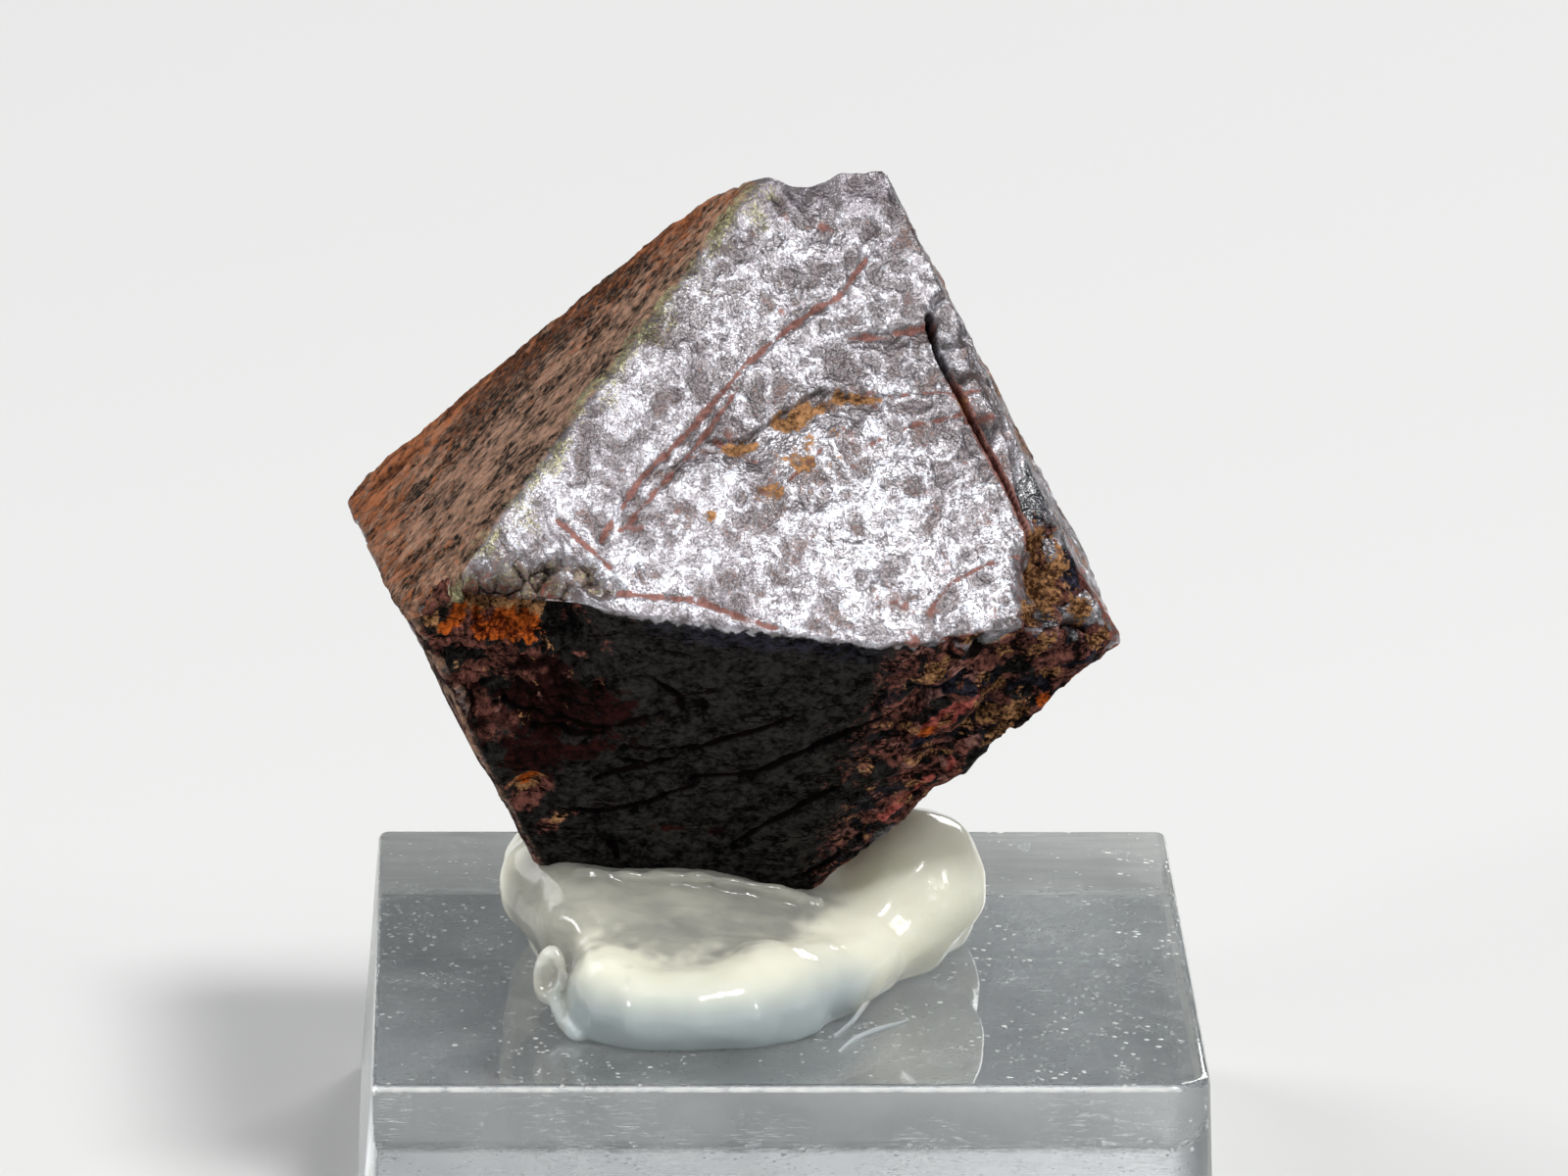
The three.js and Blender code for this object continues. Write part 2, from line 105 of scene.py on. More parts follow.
# Relief of the upper left face, and the fine grain of the others
STREAK_DIRECTION = (0.49, 0.87)  # across and up
STREAK_HEIGHT = 0.09
GRANULE_HEIGHT = 0.05
FINE_HEIGHT = 0.04

# Relief of the rusty and lumpy ground
CREVICE_DEPTH = 0.2  # between the crumbs
CRUMB_DEPTH = 0.16  # of the lowest crumbs
LUMP_DEPTH = 1.4  # in heights of the face's lumps

# Pits and dips: the face, its place there (across, up), half sizes, turn in degrees and depth
HOLLOWS = [
    ("brokenTip", (-1.8, 5.0), (1.1, 9.0), 0, 0.55),
    ("lowerFront", (-6.7, 7.1), (3.3, 1.9), -8, 1.5),
    ("lowerFront", (-6.2, -1.3), (1.0, 1.1), 0, 0.6),
    ("lowerFront", (-7.4, 3.6), (2.2, 2.0), 0, 0.45),
    ("brokenCorner", (2.3, -3.6), (1.0, 1.6), 0, 0.4),
    ("brokenCorner", (3.3, -5.4), (0.9, 0.6), 0, 0.9),
    ("front", (-0.6, 0.3), (1.6, 1.1), 20, 0.12),
]
HOLLOW_REACH = 0.8  # how far under its face a pit still shows
ROUGH_RIM = ("front", (-8.3, -3.5), (3.1, 0.85), 5)  # the lumpy rim over that pit
CRUMBLY = ("lowerFront", (-7.3, 5.2), (3.4, 4.2), 12)  # the rusty, crumbly part round the deepest pit

FISSURE = [(5.15, 4.7), (5.25, 3.5), (5.75, 2.1), (6.5, 0.1), (7.1, -1.5), (7.55, -2.9)]
FISSURE_HALF_WIDTHS = (0.1, 0.1, 0.06, 0.04, 0.05, 0.03)
FISSURE_DEPTH = 1.4
FISSURE_SIDE = [(up, across) for across, up in reversed(FISSURE)]  # as a table of heights
GROOVE_DEPTH = 0.16  # between the pillows on the strip beyond the fissure
PILLOW_HEIGHT = 0.1

LEDGE_CREST = [(-3.9, -0.1), (-3.1, 0.2), (-2.2, 0.9), (-0.9, 0.97), (-0.4, 1.35), (0.7, 2.04),
               (1.5, 2.45), (2.2, 2.3), (3.0, 2.16), (4.0, 2.18), (5.5, 2.14)]
LEDGE_DROP = [(-3.9, 0.03), (-2.2, 0.14), (-0.4, 0.36), (1.5, 0.4), (2.6, 0.2), (3.6, 0.06), (5.5, 0.04)]
LEDGE_RUN = [(-3.9, 0.5), (-0.4, 1.6), (1.5, 2.0), (3.0, 1.1), (5.5, 0.3)]  # from the crest to the toe

# A second, lower ledge runs in from the top of the fissure
HIGH_LEDGE = [(1.6, 3.9), (2.4, 4.18), (3.8, 4.28), (5.0, 4.5), (5.4, 4.6)]
HIGH_LEDGE_DROP = 0.16
HIGH_LEDGE_RUN = 0.7

# Ridges and grooves along the broken lower right edge: their direction on its plane, the place of
# the first crest across them, their spacing and height, and the depths of plates, chips and gaps
SPLINTERS = {"direction": (0.62, 0.78), "crest": 1.15, "spacing": 2.1, "height": 0.22,
             "plate": 0.24, "chip": 0.14, "gap": 0.25}

# The chipped right border of the front face, as (up, across), and how far the surface drops there
CHIP_BORDER = [(-6.4, 6.4), (-5.9, 6.75), (-4.4, 7.35), (-3.1, 7.62), (-2.6, 7.5), (-2.2, 8.3)]
CHIP_DROP = 0.3

# Shallow lines on the front face, with half width and depth
GROWTH_LINES = [
    ([(-5.76, -2.19), (-4.27, -0.19), (-2.64, 1.29), (-1.52, 2.46), (-0.6, 3.44), (1.18, 4.78),
      (2.4, 5.41), (3.36, 6.59)], 0.12, 0.08),
    ([(-5.07, -1.87), (-3.46, -0.23), (-2.18, 1.08), (-1.02, 2.6)], 0.10, 0.07),
    ([(-7.0, -1.46), (-5.52, -3.05)], 0.10, 0.04),
    ([(-5.28, -3.92), (-3.07, -4.21), (-1.5, -4.95), (-0.73, -5.28)], 0.15, 0.05),
    ([(2.68, 0.51), (4.2, 1.1), (5.72, 1.42)], 0.08, 0.05),
    ([(4.03, -4.91), (4.79, -4.06), (6.01, -3.45), (7.19, -3.15)], 0.09, 0.05),
    ([(2.6, 4.05), (3.77, 4.12), (5.01, 4.35), (5.3, 4.4)], 0.13, 0.05),
    ([(-1.93, 0.91), (-0.71, 0.21)], 0.10, 0.05),
    ([(0.22, -0.47), (1.31, 0.44)], 0.10, 0.05),
    ([(5.9, 2.1), (6.6, 2.2), (7.5, 2.2)], 0.08, 0.10),
    ([(5.9, 1.2), (6.9, 1.35)], 0.07, 0.08),
    ([(3.6, 2.12), (4.6, 2.2), (5.6, 2.14)], 0.04, 0.06),
]
# Black cracks on the lower front face
CRACKS = [
    [(-7.3, 2.3), (-5.5, 1.95), (-4.6, 1.75), (-3.85, 1.67), (-2.7, 2.15), (-1.97, 2.48)],
    [(-6.1, 1.5), (-4.9, 1.35), (-3.9, 1.4)],
    [(-3.5, 0.3), (-2.5, 0.05), (-1.9, 0.3)],
    [(-4.24, -0.77), (-3.48, -0.3), (-2.52, -0.05)],
    [(-3.91, -3.55), (-3.6, -4.0), (-3.53, -4.58)],
    [(-0.81, 3.0), (-0.81, 2.5)],
    [(-2.3, 3.9), (-1.6, 3.3), (-1.5, 2.6)],
    [(-3.4, 0.86), (-2.09, 0.75), (-0.87, 0.91), (0.0, 1.34), (0.95, 1.77), (1.94, 2.34)],
    [(-1.23, -0.52), (0.8, -0.25), (1.94, 0.55), (3.39, 1.55), (5.76, 2.87)],
    [(-5.11, -2.13), (-4.06, -2.2), (-2.92, -1.9), (-1.15, -0.98)],
    [(-0.02, -3.75), (0.95, -2.85), (2.27, -1.7), (3.4, -0.89)],
    [(2.12, -5.36), (3.41, -4.3)],
]
CRACK_HALF_WIDTH = 0.085
CRACK_DEPTH = 0.15

# Coloured patches by layer and face: place (across, up), half sizes and turn in degrees
PATCHES = {
    ("ochre", "front"): [
        ((1.1, 1.75), (1.3, 0.36), 22), ((2.7, 2.06), (0.7, 0.13), -5), ((-1.1, 0.7), (0.6, 0.24), 10),
        ((-2.3, -1.5), (0.18, 0.22), 0), ((5.85, 1.8), (0.14, 0.5), 20)],
    ("blue", "front"): [((8.0, -1.3), (0.9, 1.2), -15)],
    ("ochre", "brokenCorner"): [
        ((2.9, -2.2), (0.7, 0.3), 0), ((2.8, -3.5), (0.6, 1.2), -15), ((1.7, -4.6), (0.4, 0.5), 0),
        ((3.75, -4.6), (0.45, 0.5), -30)],
    ("blue", "brokenCorner"): [((3.9, -3.4), (0.35, 1.2), -10), ((2.5, -5.2), (0.45, 0.2), 30)],
    # painted shade in the deep pit of the broken corner
    ("crack_and_painted_shade", "brokenCorner"): [((3.2, -5.35), (0.9, 0.3), 10)],
    ("crack_and_painted_shade", "brokenEdge"): [((4.05, 5.9), (0.75, 0.45), 20), ((3.2, 5.9), (0.5, 0.25), -30)],
    ("ochre", "brokenEdge"): [
        ((2.86, 5.1), (0.4, 0.6), -10), ((3.63, 6.5), (0.3, 0.2), 0), ((6.3, 6.0), (0.7, 0.16), 52),
        ((5.52, 1.36), (0.3, 0.3), 0), ((6.0, 2.6), (0.4, 0.3), 50)],
    ("red", "brokenEdge"): [((1.82, 6.5), (0.3, 0.3), 0)],
    ("blue", "brokenEdge"): [((3.3, 4.3), (0.9, 0.3), 48), ((4.6, 2.2), (1.1, 0.35), 50)],
    ("rose", "brokenEdge"): [((3.7, 3.0), (1.4, 0.38), 47), ((3.4, -0.8), (1.55, 0.24), 55)],
    ("orange", "brokenEdge"): [
        ((3.2, 2.4), (0.5, 0.25), 47), ((6.78, 3.15), (0.28, 0.35), 0), ((7.81, 3.94), (0.4, 0.25), 40)],
    ("orange", "lowerFront"): [
        ((-6.8, 5.6), (1.0, 0.4), -6), ((-8.55, 6.0), (0.5, 0.3), 0), ((-6.25, -1.15), (0.4, 0.2), 45)],
    ("ochre", "lowerFront"): [
        ((-7.0, 6.2), (1.3, 0.3), -6), ((-9.0, 6.3), (0.4, 0.5), 0), ((-6.34, -1.28), (0.6, 0.36), 45),
        ((-5.4, -2.5), (0.6, 0.25), 35)],
    ("pink", "lowerFront"): [((-6.3, -1.5), (0.9, 0.6), 40), ((-5.5, -2.6), (0.8, 0.35), 35)],
    ("rust", "lowerFront"): [
        ((-5.2, 2.2), (2.4, 1.3), 5), ((-6.2, 0.2), (0.8, 1.2), 20), ((-5.66, 4.0), (1.2, 0.7), -10),
        ((-4.6, 0.74), (1.2, 0.4), 5), ((-1.86, -2.91), (0.6, 0.15), 0),
        ((-0.51, -3.07), (0.3, 0.12), 0)],
}

DARK_PART = ("upperLeft", (-4.0, 1.5), (3.6, 6.5), 0)  # the dark part of the streaked face
OCHRE_SPECKS = ("front", (0.5, 0.1), (1.9, 1.0), 15)  # a speckled zone under the ledge

# ---- The block, as in the part's source, and the glue, which follows the part's closely ----

BLOCK_HEIGHT = 8.0
BLOCK_SIDE = 25.4
# How far each side reaches further out at the bottom, and the roundings of the upright edges
FLARE = {"left": 0.6, "right": 0.3, "front": 0.2, "back": 0.2}
CORNER = 0.35
WORN_CORNER = 1.3  # at the front right
BEVEL = 0.2
BEVEL_STEPS = 6

# Runs of glue: points (x, y, z) and the radius there
GLUE_RUNS = [
    [(-5.9, -6.4, 8.9, 0.9), (-5.05, -8.2, 9.0, 1.2), (-4.3, -8.75, 9.0, 1.25), (-3.0, -8.85, 9.0, 1.25),
     (-1.6, -8.4, 9.05, 1.35), (0.1, -7.3, 9.0, 1.25), (1.4, -5.6, 9.0, 1.2), (2.5, -3.2, 9.3, 1.4),
     (4.05, -1.0, 10.7, 2.05)],
    [(4.05, -1.0, 10.7, 2.05), (4.2, 1.6, 9.9, 1.9), (3.0, 4.2, 9.9, 1.8), (-0.5, 5.5, 9.6, 1.7),
     (-4.6, 5.0, 9.6, 1.6), (-6.8, 3.0, 10.0, 1.6), (-7.1, 0.4, 10.4, 1.6), (-7.2, -2.4, 11.0, 1.65),
     (-6.5, -4.8, 10.6, 1.3)],
    [(-6.6, -2.0, 9.0, 1.0), (-6.3, -4.6, 9.0, 1.0), (-5.9, -6.4, 8.9, 0.9)],
    [(3.4, -1.0, 9.0, 1.5), (4.4, 1.6, 9.0, 1.4)],
    [(-5.3, -7.6, 9.25, 1.15), (-5.2, -7.4, 9.25, 1.15)],
    [(-0.9, -7.3, 9.3, 1.35), (-0.7, -7.2, 9.3, 1.35)],
    [(-2.5, -1.5, 9.0, 3.4), (-1.5, 1.5, 9.0, 4.2)],
]
# How softly the runs, the sides of the slope, the tail, the curl, the bead and the underside join
GLUE_BLEND = 0.9
APRON_BLEND = 0.8
TAIL_BLEND = 0.2
CURL_BLEND = 0.12
BEAD_BLEND = 0.15
FOOT_BLEND = 0.12
RIPPLE_HEIGHT = 0.1
FINE_RIPPLE_HEIGHT = 0.03
BEAD_UNEVENNESS = 0.08
GLUE_LIFT = 0.02  # of the underside above the block
# The slope from the crystal down to the front roll: outward direction and a point of each side
GLUE_APRON = [
    ((0.0, -0.465, 0.885), (-4.0, -4.4, 11.95)),
    ((0.37, -0.45, 0.81), (0.95, -3.9, 10.9)),
    ((-0.97, -0.22, 0.0), (-6.7, -5.0, 9.5)),
    ((0.85, -0.5, 0.1), (1.6, -5.6, 9.5)),
    ((0.0, -1.0, 0.0), (0.0, -8.8, 9.0)),
    ((0.0, 1.0, 0.0), (0.0, 1.0, 9.0)),
    ((0.0, 0.0, 1.0), (0.0, 0.0, 12.7)),
]
# A curl at the left end of the front roll: middle, the way it faces, radius of the ring and of its wall
GLUE_CURL = ((-7.3, -6.9, 9.6), (-0.35, -0.9, 0.3), 0.5, 0.17)
CURL_SHAPE = (0.75, 1.3)  # how far the ring is drawn out sideways and upwards
GLUE_TAIL = [(-7.2, -7.2, 8.9, 0.18), (-6.9, -7.8, 8.4, 0.2), (-6.4, -8.4, 8.1, 0.3)]
# A thin bead where the front of the glue meets the crystal
GLUE_BEAD = [(-6.4, -4.5, 12.1, 0.2), (-4.3, -4.5, 12.0, 0.16), (-2.7, -4.5, 11.98, 0.2),
             (-1.2, -4.4, 11.7, 0.15), (0.3, -4.2, 11.25, 0.2), (1.0, -3.95, 10.95, 0.16)]
GLUE_STRANDS = [
    [(1.5, -9.6, 8.03, 0.05), (2.0, -8.4, 8.06, 0.09), (2.8, -7.4, 8.05, 0.08), (3.7, -6.6, 8.02, 0.04)],
    [(1.4, -8.1, 8.03, 0.05), (2.0, -6.9, 8.1, 0.08), (2.5, -5.6, 8.35, 0.1)],
]
GLUE_GRID = 0.13  # spacing of the grid that its surface is drawn from
GLUE_BOX = ((-10.2, -11.4, BLOCK_HEIGHT - 0.3), (7.6, 8.6, 14.2))  # and the corners of that grid

# ---- Camera and light ----

CAMERA_AT = (-9.17, -336.43, 119.37)
CAMERA_AHEAD = (0.02602, 0.95865, -0.28338)
CAMERA_UP = (-0.00131, 0.28351, 0.95897)
LENS = 260.3
SENSOR = 36.0


# ---- Noise ----

HASH = np.array([(127.1, 269.5, 113.5), (311.7, 183.3, 271.9), (74.7, 246.1, 124.6)])
TILT = np.array(Matrix.Rotation(0.9, 3, (1, 2, 3)))  # keeps the noise's lattice off the axes


def scatter(seeds):
    """Three steady values from 0 to 1 for each lattice point."""
    wave = np.sin(seeds @ HASH) * 43758.5453
    return wave - np.floor(wave)


def noise(points, size):
    """Smooth noise of the given grain size, about -1 to 1."""
    cell = points @ TILT / size
    corner = np.floor(cell)
    within = cell - corner
    fade = within ** 3 * (within * (6 * within - 15) + 10)
    total = np.zeros(len(points))
    for step in itertools.product((0, 1), repeat=3):
        share = np.prod(np.where(step, fade, 1 - fade), axis=1)
        total += share * ((scatter(corner + step) - 0.5) * (within - step)).sum(1)
    return total * 4.4


def layered(points, size, octaves=3, gain=0.55):
    """Noise with finer noise on it, about -1 to 1."""
    total = np.zeros(len(points))
    reach = 0.0
    for octave in range(octaves):
        share = gain ** octave
        total += share * noise(points + 17.3 * octave, size / 2 ** octave)
        reach += share
    return total / reach * 1.4


def bend(points, size):
    """A smooth shift in X, Y and Z."""
    return np.stack([noise(points + offset, size) for offset in (3.1, 11.7, 23.9)], 1)


def ridges(points, size):
    """Winding crests on a level ground, from 0 to 1."""
    return (1 - np.abs(noise(points + bend(points, size * 1.7) * size * 0.35, size))) ** 3


def cells(points, size):
    """Distance to the nearest and second nearest of scattered points, in cell sizes, and a value of
    the nearest from 0 to 1."""
    cell = points / size
    corner = np.floor(cell)
    near = np.full(len(points), 9.0)
    second = near.copy()
    value = near.copy()
    for step in itertools.product((-1, 0, 1), repeat=3):
        spread = scatter(corner + step)
        gap = np.linalg.norm(corner + step + spread - cell, axis=1)
        second = np.minimum(second, np.maximum(near, gap))
        value = np.where(gap < near, spread[:, 0], value)
        near = np.minimum(near, gap)
    return near, second, value


def ramp(value, low, high):
    """0 below low, 1 above high, smooth between. Falls instead where low is above high."""
    share = np.clip((value - low) / (high - low), 0, 1)
    return share * share * (3 - 2 * share)


# ---- Crystal mesh ----

class Plane:
    """One face's plane about the crystal's centre, with its own directions across and up."""

    def __init__(self, name, face):
        about_x, about_y, about_z = (Matrix.Rotation(math.radians(angle), 3, axis)
                                     for angle, axis in zip(TURN, "XYZ"))
        if "normal" in face:
            normal = Vector(face["normal"])
        else:
            normal = about_x @ about_y @ about_z @ Vector(face["index"])
        self.name = name
        self.normal = np.array(normal.normalized())
        across = np.cross((0, 0, 1), self.normal)
        level = np.linalg.norm(across) < 1e-6  # a flat face has no slope to go across
        self.across = np.array([1.0, 0, 0]) if level else across / np.linalg.norm(across)
        self.upward = np.cross(self.normal, self.across)
        self.distance = face["distance"]
        self.relief = face["relief"]
        self.lumps = face["lumps"]

    def place(self, points):
        return points @ self.across, points @ self.upward

    def below(self, points):
        return self.distance - points @ self.normal


NAMES = list(FACES)
planes = [Plane(name, face) for name, face in FACES.items()]
plane = {p.name: p for p in planes}


def polyhedron_corners():
    found = []
    for trio in itertools.combinations(planes, 3):
        matrix = np.array([p.normal for p in trio])
        if abs(np.linalg.det(matrix)) < 1e-5:
            continue
        corner = np.linalg.solve(matrix, [p.distance for p in trio])
        if all(p.below(corner) > -1e-6 for p in planes):
            found.append(corner)
    return np.array(found)


def facet_fans():
    """Each face as a fan of triangles round its middle, with the corners shared."""
    corners = polyhedron_corners()
    points = list(corners)
    triangles = []
    for p in planes:
        own = np.flatnonzero(np.abs(p.below(corners)) < 1e-4)
        middle = corners[own].mean(0)
        across, upward = p.place(corners[own] - middle)
        own = own[np.argsort(np.arctan2(upward, across))]
        points.append(middle)
        triangles += [(len(points) - 1, own[i], own[(i + 1) % len(own)]) for i in range(len(own))]
    return np.array(points), np.array(triangles)


def refine(points, triangles, limit):
    """Halves the sides that are longer than limit allows at their middle, until none is left."""
    while True:
        count = len(points)
        sides = np.sort(triangles[:, [[0, 1], [1, 2], [2, 0]]], axis=2)
        keys, which = np.unique(sides[..., 0] * count + sides[..., 1], return_inverse=True)
        which = which.reshape(-1, 3)
        ends = np.stack([keys // count, keys % count], 1)
        middles = points[ends].mean(1)
        length = np.linalg.norm(points[ends[:, 0]] - points[ends[:, 1]], axis=1)
        cut = length > limit(middles)
        if not cut.any():
            return points, triangles
        first = np.argmax(length[which], axis=1)
        rows = np.arange(len(triangles))
        while True:  # a triangle that is cut at all is cut through its longest side
            missing = cut[which].any(1) & ~cut[which[rows, first]]
            if not missing.any():
                break
            cut[which[rows, first][missing]] = True
        half = np.where(cut, count + np.cumsum(cut) - 1, -1)
        points = np.concatenate([points, middles[cut]])
        turned = np.stack([(first + i) % 3 for i in range(3)], 1)
        a, b, c = (triangles[rows, turned[:, i]] for i in range(3))
        ab, bc, ca = (half[which[rows, turned[:, i]]] for i in range(3))
        pieces = []
        whole = ab < 0
        pieces.append(np.stack([a, b, c], 1)[whole])
        for has_bc, has_ca in itertools.product((False, True), repeat=2):
            chosen = ~whole & ((bc >= 0) == has_bc) & ((ca >= 0) == has_ca)
            left = [(a, ab, ca), (ca, ab, c)] if has_ca else [(a, ab, c)]
            right = [(ab, b, bc), (ab, bc, c)] if has_bc else [(ab, b, c)]
            pieces += [np.stack(corner, 1)[chosen] for corner in left + right]
        triangles = np.concatenate(pieces)


def distance_to(path, across, upward):
    """Distance to a path in a face, and how far along the path the nearest point is, from 0 to 1."""
    nearest = np.full(len(across), 1e9)
    share = np.zeros(len(across))
    spans = len(path) - 1
    for i in range(spans):
        start = np.array(path[i])
        run = np.array(path[i + 1]) - start
        t = np.clip(((across - start[0]) * run[0] + (upward - start[1]) * run[1]) / (run @ run), 0, 1)
        gap = np.hypot(across - start[0] - t * run[0], upward - start[1] - t * run[1])
        closer = gap < nearest
        nearest = np.where(closer, gap, nearest)
        share = np.where(closer, (i + t) / spans, share)
    return nearest, share


def along(table, across):
    """A value given at places across a face."""
    places, values = zip(*table)
    return np.interp(across, places, values)


def step_limit(points):
    nearest = np.stack([p.below(points) for p in planes], 1).argmin(1)
    limit = np.array([STEPS.get(name, COARSE_STEP) for name in NAMES])[nearest]
    limit[(nearest == NAMES.index("lowerFront")) & (ellipse(*CRUMBLY, points) < 1.25)] = CRUMBLY_STEP
    limit[(nearest == NAMES.index("front")) & (ellipse(*ROUGH_RIM, points) < 1.2)] = RIM_STEP
    across, upward = plane["front"].place(points)
    crevice = np.minimum(distance_to(FISSURE, across, upward)[0], distance_to(LEDGE_CREST, across, upward)[0])
    return np.where((crevice < CREVICE_REACH) & (plane["front"].below(points) < 0.1), CREVICE_STEP, limit)


def ellipse(name, at, size, turn, points):
    """How far a point is from the middle of an ellipse on a face, 1 at its edge."""
    across, upward = plane[name].place(points)
    angle = math.radians(turn)
    x, y = across - at[0], upward - at[1]
    s = (x * math.cos(angle) + y * math.sin(angle)) / size[0]
    t = (y * math.cos(angle) - x * math.sin(angle)) / size[1]
    return np.hypot(s, t)


# ---- The crystal's worn surface ----

class Weathering:
    """Wears the flat polyhedron at its points step by step, then fills the masks of its colours.

    Every step of wear changes relief, the height by which a point moves outward.
    """

    def __init__(self, points):
        self.points = points
        self.near = -np.stack([p.below(points) for p in planes], 1)  # height over each plane
        self.front_across, self.front_up = plane["front"].place(points)
        self.on = dict(zip(FACES, self.shares(LOOK_BLEND).T))
        self.hidden = sum(self.on[name] for name in AWAY)
        self.left_edge = self.along_edge("left", "lowerFront")
        self.waver = 0.06 * noise(points, 0.5)
        self.mottle = layered(points + 60.0, 1.3)
        self.line = np.zeros(len(points))
        self.crack_and_painted_shade = np.zeros(len(points))
        layers = ("red", "rose", "pink", "ochre", "orange", "blue", "rust", "crack_and_painted_shade")
        self.masks = {name: np.zeros(len(points)) for name in layers}

    def shares(self, blend):
        """How much of each face is at a point, blending over that width at the edges."""
        weight = np.exp(self.near / blend)
        return weight / weight.sum(1, keepdims=True)

    def over(self, name):
        """Height over a face's plane."""
        return self.near[:, NAMES.index(name)]

    def fade(self, name, reach):
        """1 on a face's plane, fading out below it."""
        return np.exp(self.over(name) / reach)

    def along_edge(self, first, second):
        """1 on the edge between two faces, fading out beside it and below it."""
        a, b = self.over(first), self.over(second)
        return np.exp(-((a - b) / EDGE_REACH) ** 2) * np.exp(np.minimum(a, b) / EDGE_REACH)

    def paint(self, layer, *strengths):
        """Lays more of a colour layer on, never less."""
        self.masks[layer] = np.maximum.reduce([self.masks[layer], *strengths])

    def moved(self):
        """The points on the worn surface."""
        ridge = self.along_edge("front", "upperLeft")
        softness = EDGE_WEAR + (RIDGE_WEAR - EDGE_WEAR) * ridge
        softness = softness + (LEFT_EDGE_WEAR - EDGE_WEAR) * self.left_edge
        for corner, worn, reach in BLUNT_CORNERS:
            softness += (worn - EDGE_WEAR) * np.exp(-((self.points - corner) ** 2).sum(1) / reach ** 2)
        wear = softness * np.log(np.exp(self.near / softness[:, None]).sum(1))
        outward = self.shares(OUTWARD_BLEND) @ np.array([p.normal for p in planes])
        outward /= np.linalg.norm(outward, axis=1, keepdims=True)
        return self.points + outward * (np.minimum(self.relief, 0) - wear)[:, None]

    # -- Steps of wear --

    def crumble(self):
        """Broad relief and lumps, crumbs in the rusty hollow and on its rim, and the chipped right border."""
        points, on = self.points, self.on
        broad = 0.65 * noise(points, 2.1) + 0.35 * noise(points, 1.05) - 0.4
        relief = sum(p.relief * on[p.name] for p in planes) * broad
        lump_gap = cells(points, 0.95)[0]
        small_gap = cells(points + 5.0, 0.45)[0]
        lumps = sum(p.lumps * on[p.name] for p in planes)
        crumbly = ramp(ellipse(*CRUMBLY, points) + 0.3 * noise(points, 0.9), 1.15, 0.7)
        crumbly = crumbly * self.fade("lowerFront", 1.0)
        past_border = self.front_across - along(CHIP_BORDER, self.front_up)
        chip = ramp(past_border + 0.1 * noise(points, 0.4), 0.0, 0.12)
        chip = chip * ramp(self.front_up, -2.0, -2.5) * self.fade("front", 0.8)
        rim = ramp(ellipse(*ROUGH_RIM, points) + 0.5 * noise(points, 0.7), 1.2, 0.5)
        rim = rim * self.fade("front", 0.6)
        lumps = lumps + 0.3 * crumbly + 0.12 * chip + 0.2 * rim
        nearest, second, value = cells(points + 45.0, 0.65)
        crevice = ramp(second - nearest, 0.16, 0.02) * np.clip(rim + 0.8 * crumbly, 0, 1)
        relief -= CREVICE_DEPTH * crevice + CRUMB_DEPTH * value * np.clip(rim + crumbly, 0, 1)
        lump_height = 1 - 0.8 * lump_gap ** 1.5 - 0.6 * small_gap
        relief -= lumps * (1 - lump_height) * LUMP_DEPTH + CHIP_DROP * chip
        self.relief = relief
        self.crumbly, self.chip, self.rim, self.crevice = crumbly, chip, rim, crevice
        self.lumps, self.lump_height = lumps, lump_height

    def splinter(self):
        """Ridges along the broken edge, and the plates and chips of all the broken ground."""
        points, on = self.points, self.on
        across, up = plane["brokenEdge"].place(points)
        run, rise = SPLINTERS["direction"]
        self.along_splinters = across * run + up * rise
        self.cross_splinters = across * rise - up * run
        phase = (self.cross_splinters - SPLINTERS["crest"] + 0.25 * noise(points, 1.5)) / SPLINTERS["spacing"]
        crest = 0.5 + 0.5 * np.cos(2 * math.pi * phase)
        self.relief -= SPLINTERS["height"] * (1 - crest) * on["brokenEdge"]
        bent = self.cross_splinters + 0.2 * noise(points, 0.9)
        grid = np.stack([self.along_splinters / 2.6, bent / 0.8, self.over("front") / 2.0], 1)
        nearest, second, plate = cells(grid, 1.0)
        chip = cells(points + 60.0, 0.7)[2]
        shattered = on["brokenEdge"] + 0.8 * on["brokenCorner"]
        gaps = ramp(second - nearest + 0.1 * noise(points, 0.4), 0.14, 0.0)
        gaps = gaps * ramp(noise(points + 8.0, 1.6), -0.2, 0.3) * shattered
        depth = SPLINTERS["plate"] * plate + SPLINTERS["chip"] * chip - BROKEN_RISE
        self.relief -= shattered * depth + SPLINTERS["gap"] * gaps
        self.shattered, self.plate, self.gaps = shattered, plate, gaps

    def roughen_front(self):
        """Hummocks, winding crests and pits on the front face, lower on its left."""
        points = self.points
        self.smooth_left = ramp(self.front_across + 0.5 * self.front_up, -4.5, 1.0)
        vigour = 0.4 + 0.6 * self.smooth_left
        self.hummock = layered(points + 40.0, 1.0)
        self.crests = ridges(points, 0.7)
        self.cluster = layered(points + 70.0, 2.6, gain=0.7)
        self.pit_gap = cells(points + 31.0, 1.3)[0] + 0.2 * noise(points, 0.35)
        pit = ramp(self.pit_gap, 0.34, 0.05) * ramp(noise(points + 12.0, 2.0), -0.3, 0.3)
        self.pit = pit * (0.3 + 0.7 * self.smooth_left)
        pit_rim = np.exp(-((self.pit_gap - 0.36) / 0.08) ** 2) * (self.pit_gap < 0.6)
        height = HUMMOCK_HEIGHT * (self.hummock - 1) + CREST_HEIGHT * (self.crests - 1)
        self.relief += self.on["front"] * vigour * (height + PIT_RIM_HEIGHT * pit_rim)
        self.relief -= PIT_DEPTH * self.pit * self.on["front"]

